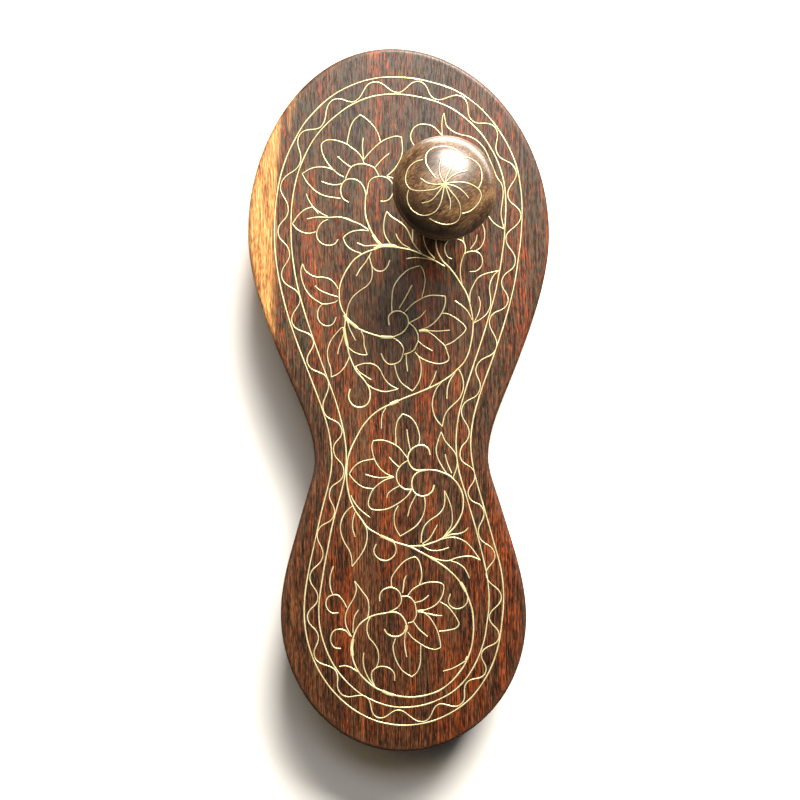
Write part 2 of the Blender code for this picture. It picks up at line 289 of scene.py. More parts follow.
# %% Rosewood of the sole
def rosewood():
    """Straight-grained wood: three sizes of streak along Y, pores, and a satin wax coat."""
    made, shader, node, link = new_material("rosewood", (0.16, 0.045, 0.022))
    place = node("ShaderNodeTexCoord").outputs["Object"]
    grain = wandering(node, place, 14.0, (0.006, 0.0, 0.006))
    axes = node("ShaderNodeSeparateXYZ", i0=grain)
    side, along = axes.outputs[0], axes.outputs[1]
    figure = stretched(node, grain, (110.0, 9.0, 110.0), detail=3.0)
    streaks = stretched(node, grain, (3000.0, 45.0, 3000.0), detail=2.0, rough=0.6)
    fibres = stretched(node, grain, (3500.0, 420.0, 3500.0), move=(2.0, 3.0, 5.0), detail=1.0, rough=0.6)
    pores = stretched(node, grain, (2100.0, 190.0, 2100.0), move=(3.1, 5.7, 1.3), detail=1.0)
    red = stretched(node, grain, (150.0, 17.0, 150.0), move=(7.0, 2.0, 4.0), detail=4.0, rough=0.65)
    grey = stretched(node, grain, (2200.0, 260.0, 2200.0), move=(1.0, 9.0, 6.0), detail=2.0)
    tone = summed(
        node,
        levels(node, streaks, 0.33, 0.67, 0.0, 0.55),
        levels(node, fibres, 0.30, 0.70, 0.0, 0.45),
        levels(node, figure, 0.3, 0.7, -0.12, 0.12),
    )
    colour = ramp(node, tone, (
        (0.20, (0.0040, 0.0024, 0.0010)),
        (0.36, (0.0220, 0.0078, 0.0024)),
        (0.50, (0.0600, 0.0175, 0.0050)),
        (0.64, (0.1060, 0.0310, 0.0094)),
        (0.84, (0.1900, 0.0680, 0.0230)),
    ))
    # orange places, most of all in a streak inside the rim of the inner side
    streak_starts = levels(node, side, 0.038, 0.045, 0.0, 0.45)
    streak_ends = levels(node, side, 0.047, 0.052, 0.0, -0.45)
    rusty = summed(node, levels(node, red, 0.47, 0.58), streak_starts, streak_ends)
    fiery = mixed(node, 1.0, colour, (2.0, 1.12, 0.42, 1.0), "MULTIPLY")
    colour = mixed(node, product(node, rusty, 0.9), colour, fiery)
    # greyish fibres, and a painted sheen: the grey grows towards the toe and fades towards the heel
    toe_sheen_share = levels(node, along, -0.07, 0.08, 0.28, 0.95)
    grey_fibres_and_sheen = product(node, levels(node, grey, 0.48, 0.64), toe_sheen_share)
    colour = mixed(node, grey_fibres_and_sheen, colour, (0.049, 0.053, 0.033, 1.0))
    # dark pores
    dark = levels(node, pores, 0.57, 0.65)
    colour = mixed(node, product(node, dark, 0.72), colour, (0.0040, 0.0032, 0.0018, 1.0))
    # painted shade: the board darkens towards the heel, where less light falls; it is also a little darker
    # at the toe
    heel_painted_shade = levels(node, along, -0.110, 0.010, 0.72, 0.97)
    toe_end = levels(node, along, 0.050, 0.115, 1.0, 0.84)
    colour = mixed(node, 1.0, colour, product(node, heel_painted_shade, toe_end), "MULTIPLY")
    # pale sapwood beyond a wandering line near the outer edge, brightened by a painted warm reflection
    edge = summed(
        node,
        side,
        levels(node, figure, 0.3, 0.7, -0.0040, 0.0040),
        levels(node, red, 0.3, 0.7, -0.0030, 0.0030),
        levels(node, along, 0.070, 0.115, 0.0, -0.0085),
        levels(node, along, -0.030, 0.030, 0.0035, 0.0),
    )
    pale = ramp(node, tone, (
        (0.18, (0.1500, 0.0560, 0.0150)),
        (0.38, (0.3700, 0.1580, 0.0420)),
        (0.56, (0.5800, 0.2700, 0.0820)),
        (0.84, (0.7800, 0.4300, 0.1550)),
    ))
    colour = mixed(node, levels(node, edge, -0.0415, -0.0452), colour, pale)
    # barer wood where the rim is worn, dull and tool-marked wood underneath
    wear = node("ShaderNodeAttribute", {"attribute_name": "wear"}).outputs["Fac"]
    plain = node("ShaderNodeAttribute", {"attribute_name": "underside"}).outputs["Fac"]
    colour = mixed(node, product(node, wear, 0.3), colour, (0.10, 0.040, 0.018, 1.0))
    link(colour, "Base Color")
    dull = product(node, summed(node, plain, wear), 0.16)
    link(summed(node, levels(node, streaks, 0.3, 0.7, 0.30, 0.42), dull), "Roughness")
    tool = stretched(node, place, (90.0, 420.0, 90.0), detail=1.0)
    marks = product(node, product(node, tool, plain), 3.0)
    relief = summed(node, product(node, fibres, 0.5), product(node, dark, -0.9), marks)
    bump = node("ShaderNodeBump", Strength=0.55, Distance=0.00010, Height=relief)
    link(bump.outputs[0], "Normal")
    link(bump.outputs[0], "Coat Normal")
    shader.inputs["Coat Weight"].default_value = 0.22
    shader.inputs["Coat Roughness"].default_value = 0.22
    shader.inputs["Specular IOR Level"].default_value = 0.36
    return made


# %% Polished wood of the knob
def knob_wood():
    """Paler wood with its grain across the knob, painted shade on the side towards the heel and the outer
    side, and a glossy polish.
    """
    made, shader, node, link = new_material("polished_knob_wood", (0.2, 0.085, 0.035))
    place = node("ShaderNodeTexCoord").outputs["Object"]
    bent = wandering(node, place, 45.0, (0.003, 0.003, 0.003))
    across = node("ShaderNodeMapping", i0=bent, i2=(0.0, 0.0, math.radians(-35))).outputs[0]
    broad = stretched(node, across, (80.0, 170.0, 170.0), detail=2.0)
    streaks = stretched(node, across, (420.0, 2600.0, 2600.0), detail=2.0, rough=0.6)
    pores = stretched(node, across, (600.0, 3000.0, 3000.0), detail=0.0)
    tone = summed(
        node,
        levels(node, broad, 0.3, 0.7, 0.0, 0.46),
        levels(node, streaks, 0.34, 0.66, 0.0, 0.54),
    )
    colour = ramp(node, tone, (
        (0.20, (0.022, 0.009, 0.003)),
        (0.40, (0.066, 0.030, 0.012)),
        (0.58, (0.130, 0.066, 0.026)),
        (0.82, (0.250, 0.140, 0.062)),
    ))
    dark = levels(node, pores, 0.60, 0.70)
    colour = mixed(node, product(node, dark, 0.6), colour, (0.015, 0.008, 0.005, 1.0))
    # painted shade: darker as a point lies towards the heel and the outer side, the knob's side away from
    # the key light
    heelwards = node("ShaderNodeVectorMath", {"operation": "DOT_PRODUCT"}, i0=place, i1=(-0.64, -0.77, 0.0))
    knob_painted_shade = levels(node, heelwards.outputs["Value"], -0.0580, -0.0490, 0.0, 0.9)
    colour = mixed(node, knob_painted_shade, colour, (0.010, 0.005, 0.002, 1.0))
    link(colour, "Base Color")
    link(levels(node, streaks, 0.3, 0.7, 0.36, 0.46), "Roughness")
    relief = summed(node, product(node, streaks, 0.4), product(node, dark, -0.6))
    bump = node("ShaderNodeBump", Strength=0.25, Distance=0.00010, Height=relief)
    link(bump.outputs[0], "Normal")
    shader.inputs["Specular IOR Level"].default_value = 0.75
    shader.inputs["Coat Weight"].default_value = 0.7
    shader.inputs["Coat Roughness"].default_value = 0.2
    return made


# %% Brass wire and its dark seam
def brass():
    """Pale brass with file marks across it and small tarnished places."""
    made, shader, node, link = new_material("brass", (0.86, 0.74, 0.42))
    place = node("ShaderNodeTexCoord").outputs["Object"]
    tarnish = stretched(node, place, (260.0, 260.0, 260.0), detail=3.0)
    scratches = stretched(node, place, (5200.0, 900.0, 900.0), turn=(0.0, 0.0, 0.7), detail=1.0)
    colour = ramp(node, tarnish, (
        (0.30, (0.66, 0.51, 0.23)),
        (0.50, (0.80, 0.68, 0.36)),
        (0.70, (0.88, 0.80, 0.50)),
    ))
    link(colour, "Base Color")
    link(levels(node, scratches, 0.3, 0.7, 0.30, 0.48), "Roughness")
    bump = node("ShaderNodeBump", Strength=0.3, Distance=0.00003, Height=scratches)
    link(bump.outputs[0], "Normal")
    shader.inputs["Metallic"].default_value = 0.5
    return made


def seam_filler_and_shade():
    """Dull, nearly black filler of glue and wood dust, which also paints the shade of the groove."""
    made, _, node, link = new_material("seam_filler_and_shade", (0.02, 0.012, 0.008))
    place = node("ShaderNodeTexCoord").outputs["Object"]
    grit = stretched(node, place, (1800.0, 1800.0, 1800.0), detail=2.0)
    colour = ramp(node, grit, ((0.35, (0.010, 0.007, 0.005)), (0.70, (0.040, 0.020, 0.012))))
    link(colour, "Base Color")
    link(levels(node, grit, 0.3, 0.7, 0.6, 0.8), "Roughness")
    bump = node("ShaderNodeBump", Strength=0.3, Distance=0.00003, Height=grit)
    link(bump.outputs[0], "Normal")
    return made


ROSEWOOD = rosewood()
KNOB_WOOD = knob_wood()
BRASS = brass()
FILLER_AND_SHADE = seam_filler_and_shade()
print("materials:", len(bpy.data.materials))

# %% [markdown]
# ## The carved sole
#
# The real sole is one block of rosewood, sawn to a waisted outline. Underneath it is carved into
# a block under the ball, an arch and a block under the heel; on top it is planed flat and waxed.
# It could be cut out of a solid, but a sole is really a set of rings around one outline, so the
# rings are computed and joined. That keeps the outline smooth where the light grazes it.


# %% Outline of the sole
FINE_STATIONS = 6000             # trial points along one side, to measure the edge


def half_width(stations):
    """Half width at a station: half ellipses at heel and toe, Hermite stretches between."""
    waist = WAIST_WIDTH / 2
    at, width, grown, lean = OUTLINE.T
    halves = waist + (width / 2 - waist) * grown
    widest = np.where(width == BALL_WIDTH, at[-1], at[0])
    slopes = lean * (width / 2 - waist) / (widest - WAIST_STATION)
    upper = np.clip(np.searchsorted(at, stations), 1, len(at) - 1)
    span = at[upper] - at[upper - 1]
    t = np.clip((stations - at[upper - 1]) / span, 0, 1)
    rise = t * t * (3 - 2 * t)
    bend = t * (1 - t) * ((1 - t) * slopes[upper - 1] - t * slopes[upper]) * span
    middle = halves[upper - 1] * (1 - rise) + halves[upper] * rise + bend
    heel = halves[0] * np.sqrt(np.clip(1 - (1 - stations / at[0]) ** 2, 0, 1))
    toe = halves[-1] * np.sqrt(np.clip(1 - ((stations - at[-1]) / (1 - at[-1])) ** 2, 0, 1))
    return np.where(stations < at[0], heel, np.where(stations > at[-1], toe, middle))


def even_stations(count):
    """Stations from heel to toe, evenly spaced along the edge."""
    fine = (1 - np.cos(np.linspace(0, math.pi, FINE_STATIONS))) / 2
    steps = np.hypot(np.diff(half_width(fine)), np.diff(fine) * LENGTH)
    run = np.concatenate([[0], np.cumsum(steps)])
    return np.interp(np.linspace(0, run[-1], count), run, fine)


STATIONS = even_stations(SIDE_POINTS)
RING_STATIONS = np.concatenate([STATIONS, STATIONS[-2:0:-1]])
RING_COUNT = len(RING_STATIONS)


def outline_ring(inset):
    """The closed outline moved in by a distance: up the inner side, then down the outer side."""
    toe_part = np.clip((RING_STATIONS - OUTLINE[-1, 0]) / (1 - OUTLINE[-1, 0]), 0, 1)
    side = np.where(np.arange(RING_COUNT) < SIDE_POINTS, 1.0, -1.0)
    ring = np.column_stack([
        side * half_width(RING_STATIONS) - TOE_LEAN * toe_part ** 3,
        (RING_STATIONS - 0.5) * LENGTH,
    ])
    along = np.roll(ring, -1, axis=0) - np.roll(ring, 1, axis=0)
    along /= np.linalg.norm(along, axis=1)[:, None]
    inwards = np.column_stack([-along[:, 1], along[:, 0]])
    return ring + inwards * np.reshape(inset, (-1, 1))


def hand_sanded(size, waves):
    """A small closed unevenness around the outline: a sum of slow waves with random phases."""
    turn = np.linspace(0, 2 * math.pi, RING_COUNT, endpoint=False)
    orders = np.arange(3, 3 + waves)
    phases = rng.uniform(0, 2 * math.pi, waves)
    return size * np.sin(turn[:, None] * orders + phases).sum(axis=1) / math.sqrt(waves)


# %% Sole mesh
FOOTBED_INSETS = np.array([6.0, 4.0, 3.0, 2.2]) * MM
UNEVENNESS = 0.10 * MM           # of the sanded edge
UNEVEN_WAVES = 9
WORN_WIDTH = 0.9 * MM            # of the rubbed line on the upper rim


def sole_rings():
    """Rings from the footbed down to the bearing faces: (inset, height) of each ring's points."""
    sines, cosines = quarter()
    lift = np.sin(math.pi / 2 * np.interp(RING_STATIONS, UNDERSIDE[:, 0], UNDERSIDE[:, 1]))
    drop = BOARD_UNDERSIDE * (1 - lift)
    level = np.ones(RING_COUNT)
    uneven = hand_sanded(UNEVENNESS, UNEVEN_WAVES)
    rings = [(inset, SOLE_HEIGHT * level) for inset in FOOTBED_INSETS]
    rings += [
        (RIM_RADIUS * (1 - s), SOLE_HEIGHT * level - RIM_RADIUS * (1 - c))
        for s, c in zip(sines, cosines)
    ]
    side_top, side_foot = SOLE_HEIGHT - RIM_RADIUS, BOARD_UNDERSIDE + LOWER_RIM_RADIUS
    rings += [(0.0, level * z) for z in np.linspace(side_top, side_foot, 5)[1:-1]]
    rings += [
        (LOWER_RIM_RADIUS * (1 - c), BOARD_UNDERSIDE * level + LOWER_RIM_RADIUS * (1 - s))
        for s, c in zip(sines, cosines)
    ]
    cove = FOOT_SETBACK - LOWER_RIM_RADIUS
    rings += [
        (LOWER_RIM_RADIUS + cove * s, BOARD_UNDERSIDE - drop * COVE_DROP * (1 - c))
        for s, c in zip(sines[1:], cosines[1:])
    ]
    low = 1 - FOOT_CHAMFER / BOARD_UNDERSIDE
    for share in np.linspace(0, 1, 6)[1:]:
        depth = COVE_DROP + (low - COVE_DROP) * share
        rings.append((FOOT_SETBACK + FOOT_DRAFT * share, BOARD_UNDERSIDE - drop * depth))
    rings += [
        (FOOT_SETBACK + FOOT_DRAFT + FOOT_CHAMFER * (1 - c), BOARD_UNDERSIDE - drop * (low + (1 - low) * s))
        for s, c in zip(sines[1:], cosines[1:])
    ]
    return [(inset + uneven, height) for inset, height in rings]


def bearing_faces(start):
    """Faces across the lowest ring, one for each pair of stations, so that they follow the arch."""
    inner = np.arange(RING_COUNT // 2)
    outer = -inner % RING_COUNT
    across = start + np.column_stack([outer, (outer - 1) % RING_COUNT, inner + 1, inner])
    heel_tip, toe_tip = across[0, :3], across[-1, [0, 1, 3]]
    return [heel_tip.tolist(), *across[1:-1].tolist(), toe_tip.tolist()]


def footbed_faces(ring, hole):
    """The flat footbed in two faces, on the toe side and the heel side of the knob's hole."""
    level = KNOB_PLACE[1]
    inner = int(np.argmin(abs(ring[:SIDE_POINTS, 1] - level)))
    outer = SIDE_POINTS + int(np.argmin(abs(ring[SIDE_POINTS:, 1] - level)))
    half = len(hole) // 2
    toe = [*range(inner, outer + 1), *hole[half::-1]]
    heel = [*range(outer, RING_COUNT), *range(inner + 1), hole[0], *hole[:half - 1:-1]]
    return [toe, heel]


def carved_sole():
    """Rings of the sole, closed by the footbed, the bearing faces and the knob's blind hole."""
    rings = sole_rings()
    layers = [np.column_stack([outline_ring(inset), height]) for inset, height in rings]
    count = len(layers) * RING_COUNT
    turn = np.linspace(0, 2 * math.pi, HOLE_SIDES, endpoint=False)
    circle = np.column_stack([np.cos(turn), np.sin(turn), 0 * turn]) * (TENON_DIAMETER / 2 + HOLE_GAP)
    mouth = circle + KNOB_PLACE
    layers += [mouth, mouth - (0, 0, TENON_LENGTH)]
    hole = np.arange(count, count + HOLE_SIDES)
    after = np.roll(hole, -1)
    faces = grid_faces(len(rings), RING_COUNT).tolist()
    faces += footbed_faces(layers[0], hole.tolist())
    faces += bearing_faces(count - RING_COUNT)
    faces += np.column_stack([hole, after, after + HOLE_SIDES, hole + HOLE_SIDES]).tolist()
    faces.append((hole + HOLE_SIDES).tolist())
    points = np.concatenate(layers)
    insets = np.concatenate([inset for inset, _ in rings] + [np.ones(2 * HOLE_SIDES)])
    heights = points[:, 2]
    upper = heights > SOLE_HEIGHT - 2 * MM
    near_rim = upper * np.exp(-((insets - RIM_RADIUS / 2) / WORN_WIDTH) ** 2)
    underneath = np.clip((BOARD_UNDERSIDE + 2.5 * MM - heights) / (2 * MM), 0, 1)
    wood = {"wear": near_rim, "underside": underneath}
    add_piece("carved_sole", points, faces, ROSEWOOD, "sole_wood", ["sole"], attributes=wood)


carved_sole()

# %% [markdown]
# ## The turned knob
#
# The wearer holds the sandal by this knob, between the first and second toe. A turner makes it
# from one billet: domed head, hollow neck, collar, and a tenon that is glued into the sole.
# A profile turned about an axis is what a lathe does, so the mesh is made the same way.


# %% Knob mesh
def knob_profile():
    """Radius and height of the knob, top to bottom; the angles on the head count from its top."""
    head, neck, tenon = HEAD_DIAMETER / 2, NECK_DIAMETER / 2, TENON_DIAMETER / 2
    dome = HEAD_HEIGHT * DOME_SHARE
    bowl = HEAD_HEIGHT - dome
    equator = KNOB_HEIGHT - dome
    over = np.radians(np.concatenate([np.linspace(1.5, 62, 24), np.linspace(63, 90, 28)]))
    groove = LIP_GROOVE * np.exp(-((over - LIP_ANGLE) / LIP_SPREAD) ** 2)
    upper = np.column_stack([(head - groove) * np.sin(over), equator + (dome - groove) * np.cos(over)])
    under = np.radians(np.linspace(0, 62, 20))[1:]
    lower = np.column_stack([head * np.cos(under), equator - bowl * np.sin(under)])
    shoulder = SEAT_GAP + COLLAR_HEIGHT
    share = np.linspace(0, 1, 33)[1:]
    throat_radius, throat_height = lower[-1]
    rim = throat_radius + (NECK_FOOT_DIAMETER / 2 - throat_radius) * share
    level = throat_height + (shoulder - throat_height) * share
    hollow = np.maximum(0, np.sin(math.pi * share)) ** NECK_HOLLOW
    waist = np.column_stack([rim + (neck - rim) * hollow, level])
    sines, cosines = quarter()
    collar = COLLAR_DIAMETER / 2 - COLLAR_RADIUS
    collar_top = np.column_stack([
        collar + COLLAR_RADIUS * sines,
        shoulder - COLLAR_RADIUS * (1 - cosines),
    ])
    collar_foot = np.column_stack([
        collar + COLLAR_RADIUS * cosines,
        SEAT_GAP + COLLAR_RADIUS * (1 - sines),
    ])
    tip = SEAT_GAP - TENON_LENGTH
    peg = np.array([(tenon, SEAT_GAP), (tenon, tip + TENON_CHAMFER), (tenon - TENON_CHAMFER, tip)])
    return np.concatenate([upper, lower, waist, collar_top, collar_foot, peg])


def turned_knob():
    """The profile swept around the knob's axis, closed by a fan at each end."""
    profile = knob_profile()
    turn = np.linspace(0, 2 * math.pi, TURNING_SIDES, endpoint=False)
    circle = np.column_stack([np.cos(turn), np.sin(turn)])
    rings = profile[:, None, :1] * circle[None]
    heights = np.broadcast_to(profile[:, None, 1:], (len(profile), TURNING_SIDES, 1))
    points = np.concatenate([rings, heights], axis=2).reshape(-1, 3)
    ends = np.array([(0, 0, KNOB_HEIGHT), (0, 0, profile[-1, 1])])
    top, bottom = len(points), len(points) + 1
    first = np.arange(TURNING_SIDES)
    after = (first + 1) % TURNING_SIDES
    foot = (len(profile) - 1) * TURNING_SIDES
    faces = grid_faces(len(profile), TURNING_SIDES).tolist()
    faces += np.column_stack([np.full(TURNING_SIDES, top), first, after]).tolist()
    faces += np.column_stack([np.full(TURNING_SIDES, bottom), foot + after, foot + first]).tolist()
    points = np.concatenate([points, ends]) + KNOB_PLACE
    add_piece("turned_knob", points, faces, KNOB_WOOD, "knob_wood", ["toe_knob"], smooth_angle=50)


turned_knob()

# %% [markdown]
# ## Brass wire
#
# The ornament is flat brass wire hammered on edge into fine grooves, then filed flush. Each
# stroke is a smooth curve through a few chosen points; a strip of wire follows it, slightly
# crowned, with a thin dark seam on each side: dark filler, and the painted shade of the groove.
# A curve object with a bevel would be quicker, but round in section, and it couldn't vary in
# width as hammered wire does. Points are in millimetres on the footbed, from the middle of the
# sole: the first towards the inner side, the second towards the toe.


# %% Wire tools
CORNER = math.radians(62)        # a sharper turn than this ends one wire and starts another
HAND_POINTS = 6                  # points of a path between two places that the hand moved
HAND_DRIFT = 0.035 * MM          # how far a place strays
HAND_SWELL = 0.07                # how much the width strays, as a share of it
NARROWEST, WIDEST = 0.8, 1.25
# across, as a share of the width, and up: 1 is as proud as the wire stands, -1 as deep as it sinks
WIRE_SECTION = np.array([
    (-0.5, -1.0), (-0.5, 0.3), (-0.27, 0.85), (0.0, 1.0), (0.27, 0.85), (0.5, 0.3), (0.5, -1.0),
])
SEAM_SECTION = np.array([(-0.5, -1.0), (-0.5, 1.0), (0.5, 1.0), (0.5, -1.0)])


def smooth_curve(points):
    """Points every WIRE_STEP along a curve through the given ones: cubic pieces with even slopes."""
    points = np.asarray(points, float) * MM
    steps = np.diff(points, axis=0)
    reach = np.linalg.norm(steps, axis=1)
    span = np.sqrt(reach)[:, None]
    slope = steps / span
    left, right = np.concatenate([slope[:1], slope]), np.concatenate([slope, slope[-1:]])
    left_span, right_span = np.concatenate([span[:1], span]), np.concatenate([span, span[-1:]])
    slopes = (left * right_span + right * left_span) / (left_span + right_span)
    counts = np.maximum(2, np.ceil(reach / WIRE_STEP).astype(int))
    piece = np.repeat(np.arange(len(counts)), counts)
    start = np.repeat(np.cumsum(counts) - counts, counts)
    t = ((np.arange(len(piece)) - start) / counts[piece])[:, None]
    curve = points[piece] * (1 + 2 * t) * (1 - t) ** 2 + points[piece + 1] * t * t * (3 - 2 * t)
    curve += (slopes[piece] * (1 - t) - slopes[piece + 1] * t) * span[piece] * t * (1 - t)
    return np.concatenate([curve, points[-1:]])


def split_at_corners(stroke):
    """Cut a stroke into wires where it turns sharply, such as at the tip of a petal."""
    points = np.asarray(stroke, float)
    steps = np.diff(points, axis=0)
    heading = np.arctan2(steps[:, 1], steps[:, 0])
    turn = abs((np.diff(heading) + math.pi) % (2 * math.pi) - math.pi)
    cuts = [0, *(np.flatnonzero(turn > CORNER) + 1), len(points) - 1]
    return [points[a:b + 1] for a, b in zip(cuts[:-1], cuts[1:])]


def hand_cut(path, width, closed):
    """A path and its widths with the small unevenness of wire that was bent and hammered by hand."""
    count = len(path)
    knots = max(3, count // HAND_POINTS)
    drift = rng.normal(0, HAND_DRIFT, (knots, 2))
    swell = rng.normal(1, HAND_SWELL, knots)
    if closed:
        drift[-1], swell[-1] = drift[0], swell[0]
    at = np.linspace(0, knots - 1, count + 1 if closed else count)[:count]
    places = np.arange(knots)
    moved = path + np.column_stack([np.interp(at, places, drift[:, i]) for i in range(2)])
    return moved, width * np.clip(np.interp(at, places, swell), NARROWEST, WIDEST)


def strip(path, normals, widths, section, proud, closed):
    """Points and faces of a section carried along a path that lies on a surface with these normals."""
    ahead, behind = np.roll(path, -1, axis=0), np.roll(path, 1, axis=0)
    if not closed:
        ahead[-1], behind[0] = path[-1], path[0]
    along = ahead - behind
    along /= np.linalg.norm(along, axis=1)[:, None]
    side = np.cross(normals, along)
    across, up = section.T
    rise = np.where(up > 0, up * proud, up * WIRE_SINK)
    sideways = across[None, :, None] * widths[:, None, None] * side[:, None]
    points = (path[:, None] + (sideways + rise[None, :, None] * normals[:, None])).reshape(-1, 3)
    quads = grid_faces(len(path), len(section))
    first = np.arange(len(section))
    last = first + len(points) - len(section)
    if closed:
        joint = np.column_stack([last, first, np.roll(first, -1), np.roll(last, -1)])
        return points, quads, joint
    return points, quads, np.array([first, last[::-1]])


def joined(strips):
    """Points and faces of several strips as one mesh."""
    points = np.concatenate([made for made, _, _ in strips])
    starts = np.cumsum([0] + [len(made) for made, _, _ in strips])
    faces = []
    for start, (_, quads, ends) in zip(starts, strips):
        faces += (quads + start).tolist() + (ends + start).tolist()
    return points, faces


def on_footbed(path):
    """Height and normals of a level path on the footbed."""
    height = np.full(len(path), SOLE_HEIGHT)
    return np.column_stack([path, height]), np.tile((0.0, 0.0, 1.0), (len(path), 1))


def on_dome(path):
    """Height and normals of a path on the knob's domed head, given from above from its axis."""
    head, dome = HEAD_DIAMETER / 2, HEAD_HEIGHT * DOME_SHARE
    radius = np.minimum(np.linalg.norm(path, axis=1), 0.98 * head)
    rise = dome * np.sqrt(1 - (radius / head) ** 2)
    points = np.column_stack([path, KNOB_HEIGHT - dome + rise])
    normals = np.column_stack([path / head ** 2, rise / dome ** 2])
    return points + KNOB_PLACE, normals / np.linalg.norm(normals, axis=1)[:, None]


def lay_wires(name, wires, surface, stands_for=()):
    """One piece of brass for a group of wires, and one dark piece for their seams: filler and painted
    groove shade.
    """
    brass_strips, seam_strips = [], []
    for path, width, closed in wires:
        path, widths = hand_cut(path, width, closed)
        seam_widths = widths + 2 * SEAM_WIDTH
        points, normals = surface(path)
        brass_strips.append(strip(points, normals, widths, WIRE_SECTION, WIRE_PROUD, closed))
        seam_strips.append(strip(points, normals, seam_widths, SEAM_SECTION, SEAM_PROUD, closed))
    add_piece(name, *joined(brass_strips), BRASS, "brass_wire", stands_for, smooth_angle=60)
    slot = "knob_wood" if surface is on_dome else "sole_wood"
    # the seams' dark strips: filler, and a painted shade of the groove
    add_piece(name + "_seam", *joined(seam_strips), FILLER_AND_SHADE, slot)


def lay_strokes(name, strokes, surface=on_footbed, width=FINE_WIRE_WIDTH):
    """Lay a group of open strokes, each a list of points in millimetres."""
    parts = [part for stroke in strokes for part in split_at_corners(stroke)]
    wires = [(smooth_curve(part), width, False) for part in parts]
    lay_wires(name, wires, surface)


# %% [markdown]
# ## Border
#
# Two wires follow the rim of the footbed, and a third swings between them. A sine would give even
# waves, but this wire was bent by hand, so each of its turns is charted: how far along the edge it
# lies, and how far in. Half a cosine joins one turn to the next.


# %% Border wires
EASED_POINTS = 15                # points of the edge over which the border's insets are evened out
SWING_STEPS = 18                 # points from one turn of the wave to the next
TURN_WIDENING = 0.28 * MM        # how much fuller a turn is than that of a plain cosine


def eased(values):
    """A closed run of values, smoothed with a window."""
    window = np.hanning(EASED_POINTS)
    half = len(window) // 2
    padded = np.concatenate([values[-half:], values, values[:half]])
    return np.convolve(padded, window / window.sum(), mode="valid")


def border_insets():
    """Insets of the border's outer and inner wire at each point of a ring, with soft corners."""
    inner_side = np.arange(RING_COUNT) < SIDE_POINTS
    shares = np.where(
        inner_side,
        np.interp(RING_STATIONS, BORDER[:, 0], BORDER[:, 1]),
        np.interp(RING_STATIONS, BORDER[:, 0], BORDER[:, 2]),
    )
    bands = np.interp(RING_STATIONS, BORDER[:, 0], BORDER[:, 3])
    outer_wire = BORDER_INSET * eased(shares)
    return outer_wire, outer_wire + BORDER_BAND * eased(bands)


def wave_path():
    """The wire that swings between the other two: half a cosine from turn to turn."""
    edge = outline_ring(0.0)
    inwards = (outline_ring(MM) - edge) / MM
    edge, inwards = (np.concatenate([part, part[:1]]) for part in (edge, inwards))
    run = np.concatenate([[0], np.cumsum(np.linalg.norm(np.diff(edge, axis=0), axis=1))])
    turns = np.concatenate([WAVE, [(WAVE[0, 0] + run[-1], WAVE[0, 1])]])
    share = np.linspace(0, 1, SWING_STEPS, endpoint=False)
    step = np.diff(turns, axis=0)[:, None]
    at = turns[:-1, :1] + step[..., 0] * share + TURN_WIDENING * np.sin(2 * math.pi * share)
    deep = turns[:-1, 1:] + step[..., 1] * (1 - np.cos(math.pi * share)) / 2
    at, deep = at.ravel() % run[-1], deep.reshape(-1, 1)
    place, inwards = (
        np.column_stack([np.interp(at, run, part[:, i]) for i in range(2)])
        for part in (edge, inwards)
    )
    return place + inwards * deep


outer_inset, inner_inset = border_insets()
outer_ring, inner_ring = outline_ring(outer_inset), outline_ring(inner_inset)
lay_wires("border_outer", [(outer_ring, BORDER_WIRE_WIDTH, True)], on_footbed, ["border_wire_outer"])
lay_wires("border_inner", [(inner_ring, BORDER_WIRE_WIDTH, True)], on_footbed, ["border_wire_inner"])
lay_wires("border_wave", [(wave_path(), FINE_WIRE_WIDTH, True)], on_footbed, ["border_wire_wave"])

# %% [markdown]
# ## Vine
#
# One vine climbs from the heel to the toes. It ends in curls, each the heart of a flower with
# five pointed petals, and sends leaves and tendrils to both sides. Every stroke is charted, since
# no two leaves of a vine drawn by hand are alike. Where a stroke turns sharply, at the tip of a
# petal, one wire ends and the next begins.


